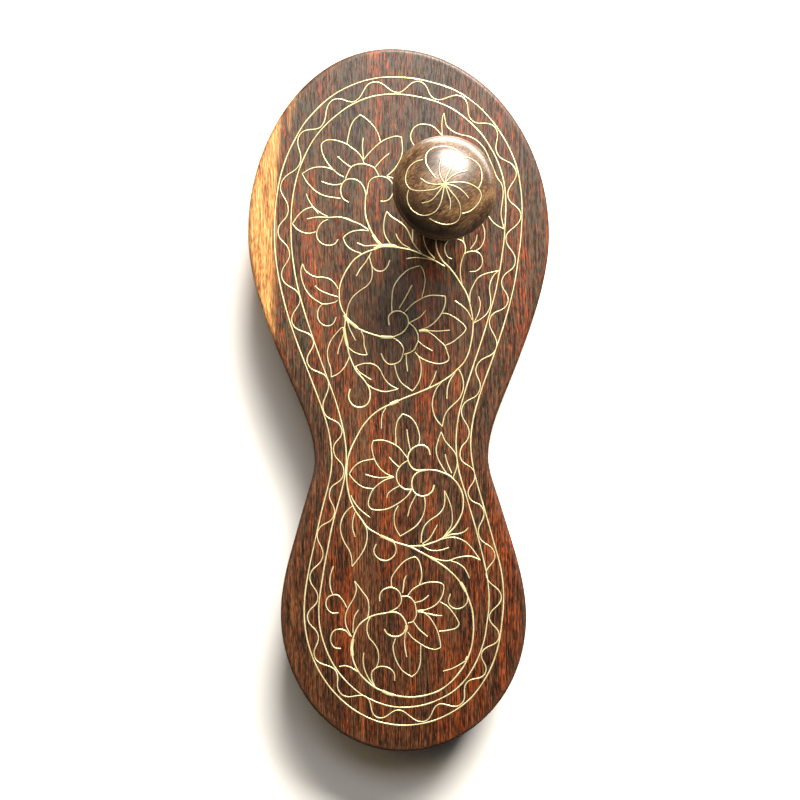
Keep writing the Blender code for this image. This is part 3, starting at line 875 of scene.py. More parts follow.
# %% Stems
STEMS = [
    # from the knob down the inner side, across the waist, round the heel and into its flower
    [(13.6, 59), (13.5, 55.3), (14.4, 52.3), (15.8, 49.8), (18.3, 47.3), (20.4, 44.6), (22.1, 41.9),
     (23.8, 39), (24.8, 36.5), (25.6, 33.2), (26.1, 30.3), (26.4, 27.8), (26.2, 23.6), (25.5, 20),
     (24.6, 16.4), (23, 13.4), (20.9, 11.1), (18, 8.6), (14.8, 6.4), (10.1, 4.1), (5.1, 2.1),
     (0.1, 0.2), (-4.2, -1.7), (-7.1, -3.1), (-10.4, -5.4), (-13.3, -8.5), (-15.6, -12.1),
     (-17.5, -15.8), (-19.2, -20), (-19.8, -24.2), (-19.9, -28.3), (-19.4, -32.5), (-18.5, -36.2),
     (-16.9, -39.8), (-14.6, -43.1), (-12.4, -46), (-8.7, -48.3), (-5.1, -50.3), (-1.5, -51.7),
     (2.2, -52.8), (5.8, -54.6), (9.5, -56.7), (13.1, -59), (16.3, -61.5), (19.5, -64.6), (22, -68.3),
     (23.5, -71.9), (24.7, -76), (25.1, -80.1), (25.1, -84.6), (24.5, -88.7), (23.1, -92.8),
     (21.3, -96.5), (18.5, -100.1), (15.4, -103), (11.7, -105.3), (7.6, -106.6), (2.6, -107.2),
     (-1.5, -106.9), (-4.6, -106.2), (-7.8, -104.9), (-10.5, -103.7), (-13.3, -101.5), (-16, -98.7),
     (-17.8, -95.3), (-18.6, -91.9), (-18.7, -88.3), (-18, -84.6), (-16.5, -81.5), (-14.2, -79.2),
     (-11, -77.6), (-6.9, -76.9), (-3.3, -76.5), (-1.2, -77.4), (0.4, -79.6), (1, -81.9), (-0.1, -84),
     (-1.9, -85.1), (-4.2, -85.2), (-6.2, -84), (-7.1, -82.5)],
    # from the toes' flower to the join, and the long one that loops to the outer side
    [(-11.7, 74.3), (-11.9, 71.6), (-12, 68.7), (-11.8, 66.2), (-11, 63.7), (-9.8, 60.8), (-8.3, 58.3),
     (-6.7, 56.3), (-5, 55.5), (-2.1, 55.5)],
    [(16.4, 47.9), (13.3, 49.8), (10.8, 51.3), (7.5, 52.8), (4.2, 54), (0.8, 54.8), (-2.1, 55.2),
     (-5.8, 55.3), (-8.7, 54.5), (-12.9, 53), (-16.2, 50.7), (-18.7, 47.5), (-20.4, 44.4),
     (-21.5, 41.1), (-21.7, 37.3), (-21.5, 35.2), (-20.6, 32.5), (-19.5, 30.7), (-18.3, 29),
     (-15.8, 26.5), (-13.3, 25), (-10, 23.8), (-6.2, 22.8), (-3.3, 22.7), (-0.8, 23.4), (1.2, 24.6),
     (2.9, 26.9), (3.1, 28.6), (2.3, 30.7), (-0.2, 32.1), (-2.5, 31.7), (-3.8, 30.5), (-4, 29),
     (-3.8, 27.1)],
    [(-19.5, 30.7), (-19.8, 27.7), (-20, 25.2), (-19.6, 22.7), (-19.1, 19.8), (-18.5, 16.9),
     (-17.5, 14), (-15.8, 10.5), (-13.7, 8), (-12.1, 5.7), (-11.2, 3.6), (-11, 2.1), (-11.2, 0.2),
     (-12.5, -1.7), (-14.8, -2.5), (-16.9, -1.9), (-18.3, -0.2), (-18.8, 1.7), (-18.2, 4.2)],
    # strokes from under the knob into the vine
    [(6, 66.9), (5.3, 64.5), (5, 61.5), (5, 56.5)],
    [(9.4, 61), (9, 59), (9.4, 56.5), (10.6, 53.6), (12.9, 50.7)],
    [(16.2, 83.6), (16, 88.5), (16.1, 92), (16.2, 95.2)],
    # heart of the waist's flower
    [(10.3, -20), (9.8, -17.9), (8.5, -16.7), (6.7, -16.3), (4.8, -16.9), (3.2, -18.3), (2.4, -20),
     (2.3, -21.7), (2.9, -23.3), (4, -24.8), (5.4, -25.5), (7.5, -25.4), (10, -25.3), (12.5, -25.6),
     (15, -26.5), (17.1, -27.5), (19.2, -29.4), (20.8, -31.7), (21.9, -34.6), (22, -37.5),
     (21.7, -40.4), (20.6, -43.1), (19.2, -45.4), (17.1, -47.7), (13.5, -50.5), (10.4, -51.7),
     (7.2, -52.6), (4.9, -52.7), (2.2, -52.8)],
    [(9.5, -25.3), (6.2, -26), (4.6, -27.1), (3.7, -28.7), (3.5, -30.8), (4, -32.7), (5.4, -34.2),
     (7.5, -34.8), (9.6, -34.2), (11, -32.9), (11.7, -30.8)],
]
lay_strokes("vine_stems", STEMS, width=STEM_WIRE_WIDTH)

# %% Flowers
FLOWERS = [
    # under the toes: four petals in sight and one beside the knob
    [(-18.2, 92.4), (-17.7, 95.3), (-16.7, 99.1), (-15.4, 101.3), (-13.4, 103), (-11.5, 101.8),
     (-9.4, 99.9), (-7.7, 97.6), (-6.7, 95.3), (-6.2, 93.3)],
    [(-12.3, 94.7), (-12.6, 92), (-12.5, 89.3), (-12.3, 86.9)],
    [(-12.1, 85.3), (-12.9, 87.4), (-14.6, 89.7), (-16.7, 91.4), (-18.3, 92.5), (-20.8, 93.5),
     (-23.8, 94.1), (-25.8, 93.9), (-27.3, 92.7), (-27.3, 90.3), (-26.5, 87.8), (-25, 85.3),
     (-23.3, 83.3), (-21.3, 81.6), (-19.7, 80.8)],
    [(-21.7, 88.1), (-19.2, 85.8), (-16.8, 84)],
    [(-23.3, 83.3), (-25.4, 84.1), (-28.3, 84.4), (-31.3, 83.9), (-34.5, 82.1), (-32.9, 79.1),
     (-30.8, 76.6), (-28.3, 74.7), (-25.4, 73.7), (-22.9, 73.3), (-20.8, 73)],
    [(-27.5, 79.1), (-25, 78.2), (-22.5, 77.9), (-20.2, 78.3)],
    [(-12.3, 86.8), (-10.4, 89.1), (-8.3, 91.2), (-5.8, 93.2), (-3.3, 94.4), (-0.4, 95.1), (1.5, 94.7),
     (1.7, 92.4), (1.8, 89.9), (1, 87), (-0.4, 84.5), (-2.1, 82.4), (-4, 80.8)],
    [(-3, 89), (-5.4, 87), (-8.1, 84.1)],
    [(-3.8, 80.6), (-1.7, 80), (0.8, 79.8), (3, 78.8), (4.4, 76.7), (3.2, 74.6), (1.6, 73.4)],
    [(0.9, 77.1), (3, 76.9)],
    # across the ball
    [(-2.9, 31.9), (-2.8, 36.1), (-2.1, 40.7), (0, 44), (3.3, 46.9), (7.5, 48.4), (8.5, 46.9),
     (9.2, 44), (9, 40.7), (8, 36.9)],
    [(4.5, 41.4), (3.3, 39), (1.5, 35.7), (-0.2, 33)],
    [(2.1, 31.9), (5, 34.8), (7.9, 36.5), (10.8, 37.5), (13.8, 37.5), (16.5, 37.1), (16.5, 34.8),
     (15.4, 31.5), (13.3, 28.6), (10.4, 26.3), (6.9, 25)],
    [(9.4, 32.1), (7.5, 30), (3.5, 27.8)],
    [(15.2, 31.1), (17.1, 30.9), (19.1, 30), (20.9, 28.7), (23, 26.8), (23.8, 25.5), (23.2, 24.1),
     (21.2, 22.3), (18.7, 20.5), (16, 19.4)],
    [(6.9, 24.8), (10.1, 24.8), (14.1, 24.6), (18, 24.9)],
    [(10.1, 24.5), (12.3, 22.9), (14.4, 20.9), (16, 19.4), (16.9, 17.1), (17.5, 14.6), (16.6, 13.5),
     (14.4, 12.9), (11.9, 13.2), (9.4, 14), (6.9, 15.4), (5.3, 17.3)],
    [(6.6, 21.1), (8.4, 19.5), (11.6, 17.6)],
    [(6.6, 15.4), (7.4, 12.9), (7.4, 10), (6.6, 6.8), (5.3, 4.5), (4.1, 3.2), (2.3, 4.5), (0.1, 6.4),
     (-1.3, 9.3), (-2.1, 12.9)],
    [(2.1, 16.6), (2.2, 13.6), (2.6, 10.3)],
    # across the waist
    [(-1.9, -16.5), (-2, -13.3), (-1.9, -10.4), (-1.2, -7.5), (0.6, -5), (2.9, -6), (5, -8.3),
     (6.2, -11.2), (6.6, -13.7), (6.3, -15.8)],
    [(2, -10.6), (2.5, -14.6), (3.2, -18.3)],
    [(2.2, -21.2), (0.6, -19), (-1.2, -16.9), (-4.2, -15.2), (-7.1, -14.4), (-10.2, -14.6),
     (-10.7, -16.7), (-10.2, -20), (-9, -22.9), (-7.1, -25.4), (-5, -26.9), (-2.9, -27.7)],
    [(-4.5, -20.6), (-2.9, -22.5), (-0.8, -24.4)],
    [(-9.8, -21.2), (-12.5, -21.6), (-15, -22.3), (-17.5, -24.2), (-19, -26.5), (-17.5, -28.5),
     (-15.4, -30.4), (-13.3, -31.5), (-10.2, -31.9)],
    [(-13.1, -26.7), (-9.6, -27.7), (-6.7, -27.9), (-3.3, -27.5)],
    [(-2.9, -27.8), (-5.8, -28.7), (-8.3, -30.2), (-10.4, -32.1), (-11.7, -34.6), (-12.2, -37.7),
     (-11.2, -39.2), (-8.3, -39.6), (-5.4, -39.2), (-2.5, -37.9), (0.4, -36), (2.3, -34.2),
     (3.3, -32.5)],
    [(-0.8, -31), (-3.3, -32.3), (-5, -33.7), (-5.6, -35.2)],
    [(-1.5, -38.1), (-2.7, -40.4), (-3, -43.3), (-2.5, -46.2), (-0.9, -49.2), (1.7, -47.7), (5, -45.4),
     (7.1, -42.5), (8.1, -39.6), (8.3, -37.1), (8.1, -35.2)],
    [(1.9, -41.9), (2.9, -38.5), (5, -34.4)],
    # across the heel
    [(-4.2, -67.3), (-4.2, -64.2), (-2.6, -61.5), (-0.1, -58.7), (2.2, -57.3), (4.5, -56.8),
     (5.8, -58.3), (6.6, -61.5), (6.6, -64.2), (5.7, -66.9)],
    [(1.3, -63.3), (0.4, -65.1), (0.1, -67.4), (-0.3, -69.6)],
    [(1.5, -70.8), (3.1, -68.7), (5.4, -67.1), (7.6, -66.2), (10.4, -65.8), (13.1, -66.1), (14.5, -67),
     (14.4, -69.2), (13.5, -71.7), (12.2, -73.5), (9.9, -75.1), (7.2, -76), (5.1, -76.2)],
    [(4, -73.2), (6.7, -72.4), (9.2, -70.5)],
    [(13.3, -73), (15.8, -74.6), (17.9, -77.1), (19.2, -79.2), (19.9, -81), (19, -82.4), (16.3, -83.3),
     (12.6, -83.6)],
    [(5.4, -76.4), (8.5, -77.1), (11.3, -77.8), (13.8, -78)],
    [(6.7, -76.5), (8.8, -78), (10.8, -80.8), (12.2, -83.7), (13, -86.9), (13.2, -89.4), (11.3, -90.1),
     (8.5, -89.5), (5.8, -88), (3.1, -86), (1.3, -83.7)],
    [(3.5, -80), (5.4, -82.6), (8.5, -85.4)],
    [(-3, -86), (-4, -88.7), (-3.7, -91.5), (-2.6, -94.6), (-0.5, -97.8), (2.6, -99.9), (4.5, -98.3),
     (5.7, -95.1), (5.9, -91.9), (6, -88.5)],
    [(0.6, -83.7), (0.2, -86.9), (0.4, -89.6), (0.9, -92.7)],
]
lay_strokes("vine_flowers", FLOWERS)

# %% Hearts and curls
CURLS = [
    # toes
    [(-19, 80.1), (-17.9, 82.4), (-16.7, 84.3), (-15, 85.1), (-12.9, 85.3), (-10.8, 84.9), (-8.8, 84),
     (-7.7, 82.6), (-6.9, 81)],
    [(-11.7, 74.3), (-12.3, 76.6), (-13.5, 78.5), (-15, 79.6), (-16.7, 80), (-18.8, 79.7),
     (-20.1, 78.3), (-20.7, 76.6), (-20.6, 74.7), (-19.8, 72.8), (-17.9, 71.5)],
    [(-11.3, 74.3), (-11, 76.4), (-10.4, 78.7), (-9, 80.1), (-6.7, 80.7), (-4.2, 80.3), (-2.5, 78.9),
     (-1.8, 76.6), (-2.1, 74.3), (-3.3, 72.4), (-5, 71.7), (-6.3, 71.7)],
    [(9.5, 89.4), (7.6, 90), (6.2, 91.5), (5, 93.5), (4.8, 95.4), (5.9, 97.9), (7.8, 99.2),
     (10.2, 99.3), (12.5, 98.7), (14.4, 97.1), (16.1, 95.2)],
    # outer side of the ball
    [(-25.4, 65.5), (-27.5, 64.5), (-29, 62.4), (-29.6, 60.1), (-29.2, 58.3), (-27.5, 56.6), (-25, 56),
     (-23.1, 56.6), (-21.9, 58.2)],
    [(-33.3, 74.9), (-32.3, 72.4), (-30.6, 69.9), (-28.3, 68), (-25.4, 66.4)],
    [(-10.4, 50.9), (-10.2, 49.4), (-9.2, 47.5), (-7.5, 46.5), (-5.8, 46.7), (-4.4, 48), (-3.3, 50.5)],
    [(-27.7, 35), (-29, 33.6), (-29.6, 31.5), (-29.2, 29), (-27.5, 27.3), (-25.6, 27.1), (-24, 28),
     (-22.9, 30.2)],
    [(-3.3, 22.7), (-1.2, 21.7), (0.4, 20.2), (1.2, 18.6), (1, 16.5), (0, 14.2), (-2.1, 13),
     (-4.2, 13), (-5.8, 14.4), (-6.9, 16.9)],
    # inner side of the ball
    [(24, 54), (23.5, 56.1), (22.1, 57.5), (20, 57.8), (17.9, 57.1), (16.6, 55.3), (16.7, 53.2),
     (17.7, 51.3), (19, 50.7)],
    [(23.8, 52.5), (25, 53.1), (27.5, 53.2), (29.4, 52.1), (30.1, 49.8), (29.6, 47.8), (28.1, 46.3),
     (25.6, 45.8)],
    [(23.8, 53), (22.7, 50.3), (22.1, 47.3), (22.1, 44.4), (22.7, 41.1)],
    [(19.9, 35.5), (22.1, 34), (24.2, 32.1), (26.1, 28.6)],
    [(28.6, 70), (30.6, 68.2), (32.7, 65.7), (34, 63.8), (35.8, 62.3), (38.1, 61.2)],
    [(2.7, 50.9), (5.8, 51.3), (9.6, 50.9), (12.9, 50)],
    [(3.3, 27.8), (5.3, 25.9), (6.4, 23.6), (6.5, 21.4), (5.7, 19.3), (5.1, 18), (3.4, 17),
     (1.4, 16.4)],
    [(13, 10.4), (11.9, 7.5), (10.3, 4.5)],
    # waist
    [(2.1, -21.9), (0.2, -23.1), (-1.2, -24.8), (-1.9, -26.7), (-1.7, -29.2), (-0.6, -31),
     (1.2, -32.3), (3.5, -32.4)],
    [(-5.4, -2.7), (-6.7, -5), (-7.1, -7.1), (-7.1, -10.2)],
    [(-18.5, -34.2), (-17.1, -36.9), (-15, -39.4), (-11.7, -42.1)],
    [(-3.5, -51), (-2.6, -52.8), (-2.6, -54.9), (-3.7, -56.7), (-6, -57.9), (-8.3, -57.4), (-9.9, -56),
     (-10.5, -54.2), (-9.5, -51.7)],
    [(7.2, -52.8), (9, -54), (11.3, -54.5), (14, -54.3), (16.6, -53.5)],
    [(15.5, -49.6), (17.6, -48.8), (20.4, -48.5), (22.6, -47.6), (23.7, -46.4)],
    # heel
    [(-6.5, -76.9), (-4.2, -76), (-1.9, -74.6), (-0.8, -72.8), (-0.8, -71), (-1.7, -69), (-3.5, -67.8),
     (-5.5, -67.7), (-7.6, -68.7), (-8.5, -70.3), (-8.6, -72.4)],
    [(-0.5, -70.9), (1.7, -70.9), (3.8, -72.8), (4.5, -75.5), (4.5, -77.8), (3.3, -79.9), (1.5, -80.5)],
    [(-25.1, -59.6), (-26.2, -62.8), (-26.5, -65.5), (-26.2, -67.8), (-25.5, -69.9)],
    [(-23.5, -76.5), (-25.8, -76.5), (-27.4, -75.1), (-28, -73), (-27.4, -71), (-25.5, -70),
     (-23.7, -70.1), (-22.1, -71.7), (-20.5, -74.6)],
    [(-22.8, -89.4), (-25.1, -89), (-26.4, -86.9), (-26.2, -84.4), (-24.9, -82.7), (-23, -82.4),
     (-21, -83), (-19.4, -84.9)],
    [(-3.6, -101.2), (-3.7, -98.7), (-5.1, -96.9), (-7.8, -96), (-10.1, -96.5), (-11.7, -98),
     (-11.8, -100.3), (-10.8, -103)],
    [(-23.5, -95.8), (-21, -95.6), (-19, -96.4), (-16.9, -97.8)],
    [(17, -70.1), (16.2, -72.8), (17, -74.6), (19, -75.6), (21.3, -75.1), (22.9, -73.5), (23.3, -71)],
    [(14, -98), (17.2, -97.1), (19.9, -95.8), (22.2, -94.4)],
    [(17.2, -58.2), (19.9, -59.2), (22, -60.8), (23.1, -62.6), (23.9, -64.5)],
]
lay_strokes("vine_curls", CURLS)

# %% Leaves
LEAVES = [
    # beside the toes' flower
    [(-11, 61.6), (-13.8, 63.5), (-16.7, 64.7), (-19.2, 65.7), (-21.3, 66.2), (-25, 66.1),
     (-29.2, 66.3), (-32.9, 65.7)],
    [(-29, 67.6), (-30.8, 70), (-33.3, 69.3), (-35.8, 67.4), (-38.3, 64.1), (-36.7, 62.2), (-34.6, 61),
     (-32.1, 60.5), (-29.8, 61)],
    [(-10.8, 61.1), (-13.8, 61.4), (-16.7, 61), (-18.8, 59.9), (-20, 58.7), (-19.2, 56.6),
     (-17.1, 54.5), (-13.8, 53)],
    [(-15, 56.8), (-12.5, 55.8), (-10, 55.8), (-6.7, 55.8)],
    [(-3.1, 56.4), (-4.4, 58.3), (-5.2, 60.3), (-5.4, 62.8), (-5, 65.8), (-4.2, 68), (-2.5, 66.1),
     (0.4, 64.2), (2.5, 62.3), (4, 59.6), (5, 56.9), (6.7, 54.4), (8.5, 52.5)],
    [(-1, 60), (-0.2, 58.2), (1.3, 56.3), (4, 54.6)],
    # above and beside the knob
    [(16.2, 95.2), (16.1, 98.5), (16.4, 101.5), (16.9, 103.3), (17.2, 101.2), (17.8, 98.7),
     (20.2, 96.5), (22.8, 95.4), (25.5, 94.8), (28.2, 93.5), (30.2, 91.7), (31.7, 89.6), (32.6, 87.6),
     (34.2, 83.6), (35.8, 79.6), (37.3, 77.3), (37.9, 74), (37.5, 70.3), (37.1, 66.5), (37.9, 61.5)],
    [(23.8, 52.3), (24, 54.8), (23.3, 57.3), (23.8, 59.8), (25.2, 62.4), (28, 65.8), (30, 63.6),
     (31, 60.3), (30.8, 57.3), (29.6, 54.8), (27.5, 53.3)],
    [(28.3, 59.2), (27.7, 56.9), (25.8, 54.2)],
    # outer side
    [(-22.1, 40.3), (-23.3, 42.3), (-25, 43.8), (-27.5, 44.6), (-30.2, 44.8), (-32.5, 45.9),
     (-34, 47.5), (-34.7, 49.6), (-35.4, 47.5), (-35.2, 44.4), (-34.2, 41.1), (-32.5, 38.4),
     (-30.4, 36.5), (-27.7, 35), (-25, 35.1), (-22.9, 35.7), (-22.3, 36.3)],
    [(-30.4, 41.5), (-28.7, 40), (-25.8, 38.6), (-22.3, 37.5)],
    [(-19.2, 30.7), (-19, 32.3), (-18.3, 34.8), (-16.7, 37.5), (-14.2, 39.6), (-11.7, 41.3),
     (-10.2, 43.2), (-9.7, 45.7), (-9.8, 48.2), (-10.4, 50.7), (-10.6, 51.9), (-10, 53.4)],
    [(-10.6, 52.2), (-12.1, 49.8), (-14, 47.5), (-15.4, 45)],
    [(-20, 26.4), (-21, 26.3), (-22.5, 24.8), (-24.6, 22.3), (-25.8, 19.8), (-26.3, 17.3), (-26, 14.4),
     (-25.2, 11.9), (-25, 8.6), (-22.5, 9.8), (-20.4, 11.9), (-19.2, 14), (-18.5, 15.7)],
    [(-20.2, 24.4), (-21, 21.9), (-22, 19.4), (-22.5, 16.9)],
    [(-19, 29), (-18.1, 25.7), (-17.1, 23.6), (-16.1, 21.7)],
    [(-14, 24.9), (-13.1, 23), (-12.9, 19.8), (-12.3, 17.7), (-11.9, 16.4), (-14.2, 16.5),
     (-16.7, 17.5), (-18.3, 18.8), (-19.1, 19.8)],
    [(-16.2, 12.3), (-14.2, 13.1), (-11.7, 13.4), (-9.2, 12.8), (-7.5, 11.3), (-6.2, 8.6), (-4.8, 6.5),
     (-3.3, 5.2), (-1, 4), (-3.3, 3.4), (-5.8, 3.1), (-8.7, 3.8), (-10.8, 4.8), (-11.9, 5.7)],
    [(-16.2, 12.3), (-14.8, 10.3), (-12.9, 9), (-10.6, 7.5)],
    # inner side
    [(25.4, 34.8), (25.4, 37.8), (26.5, 40.7), (28.3, 43.6), (30.8, 45), (36, 46.2), (34.2, 44.6),
     (32.9, 42.3), (32.5, 39.4), (32.8, 36.1), (32.7, 33.2), (31.3, 30.5), (29.2, 28.8), (26.6, 27.4)],
    [(28.5, 37), (29.1, 34.4), (28.5, 31.1), (26.9, 27.8)],
    [(20.9, 11.1), (21.7, 9.6), (22.5, 7.1), (22.6, 4.6), (21.9, 1.8), (21, 0), (18.7, -2.1),
     (16.9, -3.9), (15.6, -6.2), (15.1, -8.3), (14.8, -9.8), (12.9, -7.5), (11.7, -4.6), (11.3, -1.6),
     (11.8, 1.3), (13, 4.1), (14.8, 6.3)],
    [(19.8, 9.6), (18, 7.1), (16.9, 4.1), (16.6, 0.2)],
    [(16.2, -26.7), (14.2, -23.7), (12.9, -20.8), (12.5, -17.9), (13.3, -14.6), (14.4, -11.7),
     (15.8, -15), (17.9, -17.5), (19.4, -19.6), (20, -22.1), (19.8, -24.6), (18.5, -28.1)],
    [(15.7, -19.8), (16.5, -22.9), (18.1, -26.7)],
    [(6.6, -51.6), (7, -48), (8.1, -45.4), (10, -43.5), (12.9, -41.5), (14.8, -39.2), (15.4, -36.2),
     (15.3, -32.9), (16.7, -36.2), (17.7, -39.2), (18, -42.1), (17.7, -45.4), (15.8, -48.3),
     (14.3, -50.2)],
    [(12.6, -45.2), (11.2, -47.7), (9.5, -50.3), (7.2, -51.9)],
    # heel
    [(-18.1, -38.1), (-20, -39.8), (-21.7, -42.5), (-22.4, -45.4), (-22.1, -48.3), (-20.8, -51.5),
     (-19.2, -54.2), (-18.5, -56.7), (-18.4, -59.8), (-16.9, -58), (-14.9, -55.3), (-13.5, -52.6),
     (-12.8, -49.6), (-13, -46.2), (-14.4, -43.7)],
    [(-17.1, -40.2), (-17.9, -43.3), (-18, -46.2), (-17.2, -49.1)],
    [(-19, -85.1), (-20.1, -82.8), (-20.9, -80.5), (-21, -78.3), (-20.5, -76), (-19.4, -73.7),
     (-17.8, -71), (-17, -68.3), (-17.1, -66.6), (-17.6, -65.1), (-16.5, -66.5), (-14.6, -69.2),
     (-13, -71.5), (-12.5, -74.2), (-12.7, -76.9), (-13, -78.2)],
    [(-16.2, -75.5), (-17.6, -77.6), (-18.2, -80.5), (-18.3, -83.7)],
    [(-11.9, -78), (-13, -80.1), (-13.3, -82.8), (-12.6, -85.5), (-10.8, -87.8), (-9.6, -90.1),
     (-9.3, -92.4), (-9.4, -94.2), (-10.1, -96.2)],
    [(-14.6, -91), (-14.9, -94.2), (-14.2, -97.4), (-12.4, -101), (-10.5, -103.5)],
    [(13.5, -50.5), (16.3, -49.9), (19.5, -50), (22.6, -51.5), (25.1, -54), (26.5, -56), (27.9, -58.2),
     (24.9, -56.8), (22.2, -56.7), (19, -57.3), (16.3, -58.2), (13.1, -57.9), (9.9, -56.7)],
]
lay_strokes("vine_leaves", LEAVES)

# %% [markdown]
# ## Joins
#
# Where stems meet, the second wire is hammered into the first one's groove, and the brass spreads.
# A short wide wire over the meeting shows this, without cutting one mesh out of another.

# %% Joins
JOINS = [
    [(-8.9, 54.6), (-6.2, 55.7), (-3, 55.8), (-0.8, 55.2)],
    [(-9.3, 59.7), (-7.7, 57.3), (-6.2, 55.8)],
    [(-20, 31), (-19.3, 29.4), (-17.6, 28), (-15.5, 26.3)],
    [(-7, 22.9), (-5, 22.7), (-3, 22.7)],
    [(6.9, 24.8), (8.5, 24.9), (10.1, 24.8)],
    [(-20.2, 26.2), (-19.7, 23), (-19, 19.7)],
    [(-3.8, -1.5), (-2.2, -0.8), (-0.8, -0.3)],
    [(-7.9, -48.9), (-5.5, -50), (-3.3, -51)],
    [(5.1, -76.3), (6.2, -76.2), (7.2, -76.2)],
    [(1, -81.3), (0.9, -82.6), (0.4, -83.5)],
    [(-18.4, -86), (-18.9, -89), (-18.7, -92)],
    [(-8, -104.9), (-6, -105.8), (-4, -106.3)],
    [(20.6, -66.1), (21.6, -67.6), (22.4, -69.3)],
    [(10, -56.9), (11.5, -57.8)],
    [(22.3, -94.2), (23, -92.8)],
]
lay_strokes("vine_joins", JOINS, width=JOIN_WIDTH)

# %% [markdown]
# ## Rosette
#
# The knob's head carries six petals that turn one way around its middle, each with one vein. The
# same tools lay these wires: only the surface under them changes, from the flat footbed to the
# dome. The points are in millimetres, seen from above, from the middle of the rosette.

# %% Rosette of the knob
ROSETTE_MIDDLE = (-0.3, 0.0)
ROSETTE = [
    [(-2.9, 2.1), (-4.6, 4.5), (-6, 7.4), (-5.9, 10), (-4.3, 11.9), (-2.1, 12.7), (0.5, 12.8),
     (3.3, 12.1), (5, 10.8)],
    [(0, 0), (0.6, 2.2), (1.7, 4.4), (3.3, 6.5), (5, 8.2), (7.5, 9), (10, 7.9), (11.9, 5.9), (12.5, 3),
     (12.2, 0.5), (11.4, -1.1)],
    [(0, 0), (2.7, 0.4), (5.2, 0.6), (7.8, 0.2), (10, -0.7), (11.6, -1.9), (12.2, -3.5), (11.7, -5.4),
     (10, -7.6), (8.1, -9), (5.7, -9.7)],
    [(0, 0), (2.1, -2.6), (4, -5), (5.1, -7.4), (5.2, -10), (4.3, -11.9), (2.1, -13), (-0.5, -13),
     (-3, -12.2), (-5.1, -11)],
    [(0, 0), (-0.8, -3.9), (-1.4, -6.3), (-3, -8.8), (-5.2, -9.9), (-7.5, -10), (-9.7, -9),
     (-11.6, -6.9), (-12.4, -4), (-11.9, -1.5)],
    [(0, 0), (-3, -1.7), (-5.9, -2), (-9, -2), (-11.3, -1.2), (-12.7, 1), (-12.7, 3.5), (-11.6, 6.1),
     (-9.4, 7.8), (-7, 8.4)],
    [(0, 0), (-1.4, 2.8), (-1.7, 5.3), (-1.1, 8.2)],
    [(0, 0), (1.7, 1.9), (4, 3.4), (7.5, 4.5)],
    [(0, 0), (3.7, -1), (5.9, -2.4), (7.9, -4.6)],
    [(0, 0), (1.1, -3.2), (1.9, -5.7), (1.7, -8.5)],
    [(0, 0), (-2.4, -3.2), (-4.6, -5.4), (-7.5, -6.1)],
    [(0, 0), (-3.3, -0.1), (-5.9, 0.6), (-7.9, 2.1)],
]
lay_strokes("knob_rosette", [np.add(stroke, ROSETTE_MIDDLE) for stroke in ROSETTE], on_dome)

# %% [markdown]
# ## Floor, light and camera
#
# A plain pale floor and four soft lights: a wide one beyond the toes, a little to the inner side; a
# faint card above the toes for the sheen of the wax; a low one that lies on the floor and glints on
# the knob's edge; and a warm one over the outer rim. The camera looks straight down.


# %% Studio
HALF_FLOOR = 25.0                # metres
WORLD_STRENGTH = 0.035
LIGHTS = [
    # name, place, target, size, power, colour, seen by the camera
    ("key", (0.37, 1.10, 1.05), (0.0, 0.03, 0.03), (0.80, 0.62), 86.0, (1.0, 0.94, 0.84), True),
    ("toe_card", (0.02, 0.43, 1.05), (0.0, 0.27, 0.03), (0.6, 0.30), 3.8, (1.0, 0.99, 0.97), True),
    ("low_card", (0.46, 0.62, 0.004), (0.46, 0.62, 1.0), (1.0, 0.84), 26.0, (1.0, 0.95, 0.87), False),
    ("warm_card", (-0.30, 0.20, 1.03), (-0.2, 0.17, 0.0), (0.22, 0.34), 0.9, (1.0, 0.72, 0.36), True),
]


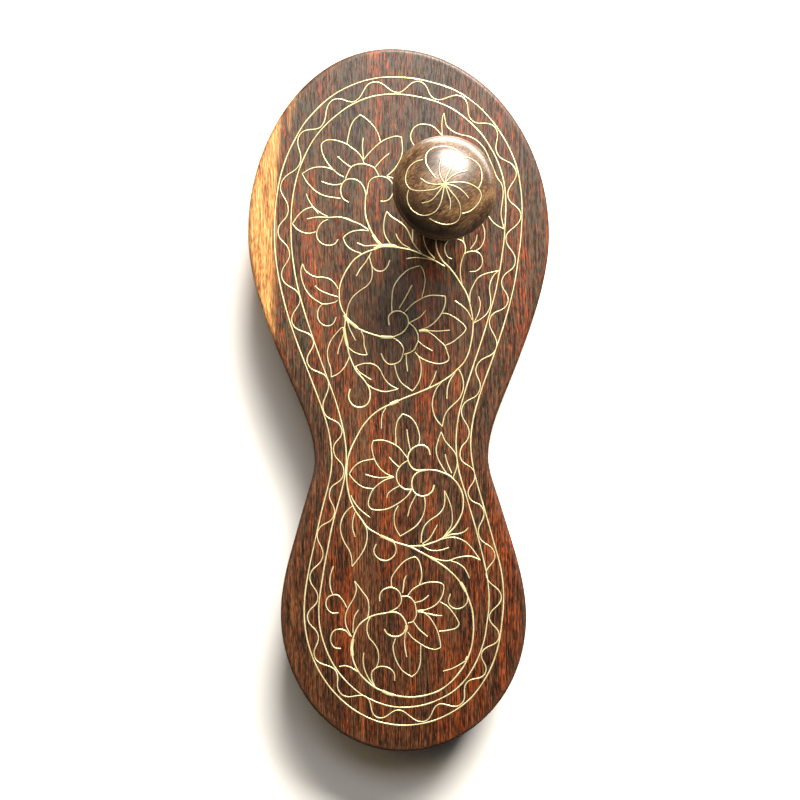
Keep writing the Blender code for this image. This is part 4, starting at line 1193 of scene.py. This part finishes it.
def pale_floor():
    """A wide flat floor under the sandal."""
    corners = np.array([(-1, -1, 0), (1, -1, 0), (1, 1, 0), (-1, 1, 0)]) * HALF_FLOOR
    mesh = bpy.data.meshes.new("floor")
    mesh.from_pydata(corners.tolist(), [], [(0, 1, 2, 3)])
    made, shader, node, link = new_material("pale_floor", (0.9, 0.9, 0.9))
    place = node("ShaderNodeTexCoord").outputs["Object"]
    cloud = stretched(node, place, (3.0, 3.0, 3.0))
    link(ramp(node, cloud, ((0.3, (0.86, 0.86, 0.87)), (0.7, (0.90, 0.90, 0.90)))), "Base Color")
    shader.inputs["Roughness"].default_value = 0.7
    mesh.materials.append(made)
    floor = bpy.data.objects.new("floor", mesh)
    bpy.context.scene.collection.objects.link(floor)
    floor.visible_glossy = False     # the knob's dark lower edge would mirror it


def soft_light(name, place, target, size, power, colour, seen):
    """A rectangular softbox at a place, facing a target."""
    data = bpy.data.lights.new(name, "AREA")
    data.shape = "RECTANGLE"
    data.size, data.size_y = size
    data.energy = power
    data.color = colour
    light = bpy.data.objects.new(name, data)
    light.location = place
    facing = np.array(target, float) - np.array(place, float)
    light.rotation_euler = Vector(facing).to_track_quat("-Z", "Y").to_euler()
    light.visible_camera = seen
    bpy.context.scene.collection.objects.link(light)


pale_floor()
for settings in LIGHTS:
    soft_light(*settings)
world = bpy.data.worlds.new("studio")
world.use_nodes = True
background = world.node_tree.nodes["Background"]
background.inputs["Color"].default_value = (1.0, 0.93, 0.84, 1.0)
background.inputs["Strength"].default_value = WORLD_STRENGTH
bpy.context.scene.world = world
bpy.context.scene.view_settings.view_transform = "Standard"

# %% Camera
CAMERA_ABOVE = 560.0 * MM        # camera above the footbed
HALF_VIEW = 144.25 * MM          # half the width in view, at the footbed
PHOTO_ROLL = math.radians(0.75)  # the toe leans this much to the outer side in the picture
camera_data = bpy.data.cameras.new("camera")
camera_data.angle = 2 * math.atan(HALF_VIEW / CAMERA_ABOVE)
camera_data.clip_start = 0.01
camera = bpy.data.objects.new("camera", camera_data)
camera.location = (-0.3 * MM, 0.0, SOLE_HEIGHT + CAMERA_ABOVE)
camera.rotation_euler = (0.0, 0.0, -PHOTO_ROLL)
bpy.context.scene.collection.objects.link(camera)
bpy.context.scene.camera = camera
print("camera at", tuple(round(v, 3) for v in camera.location))
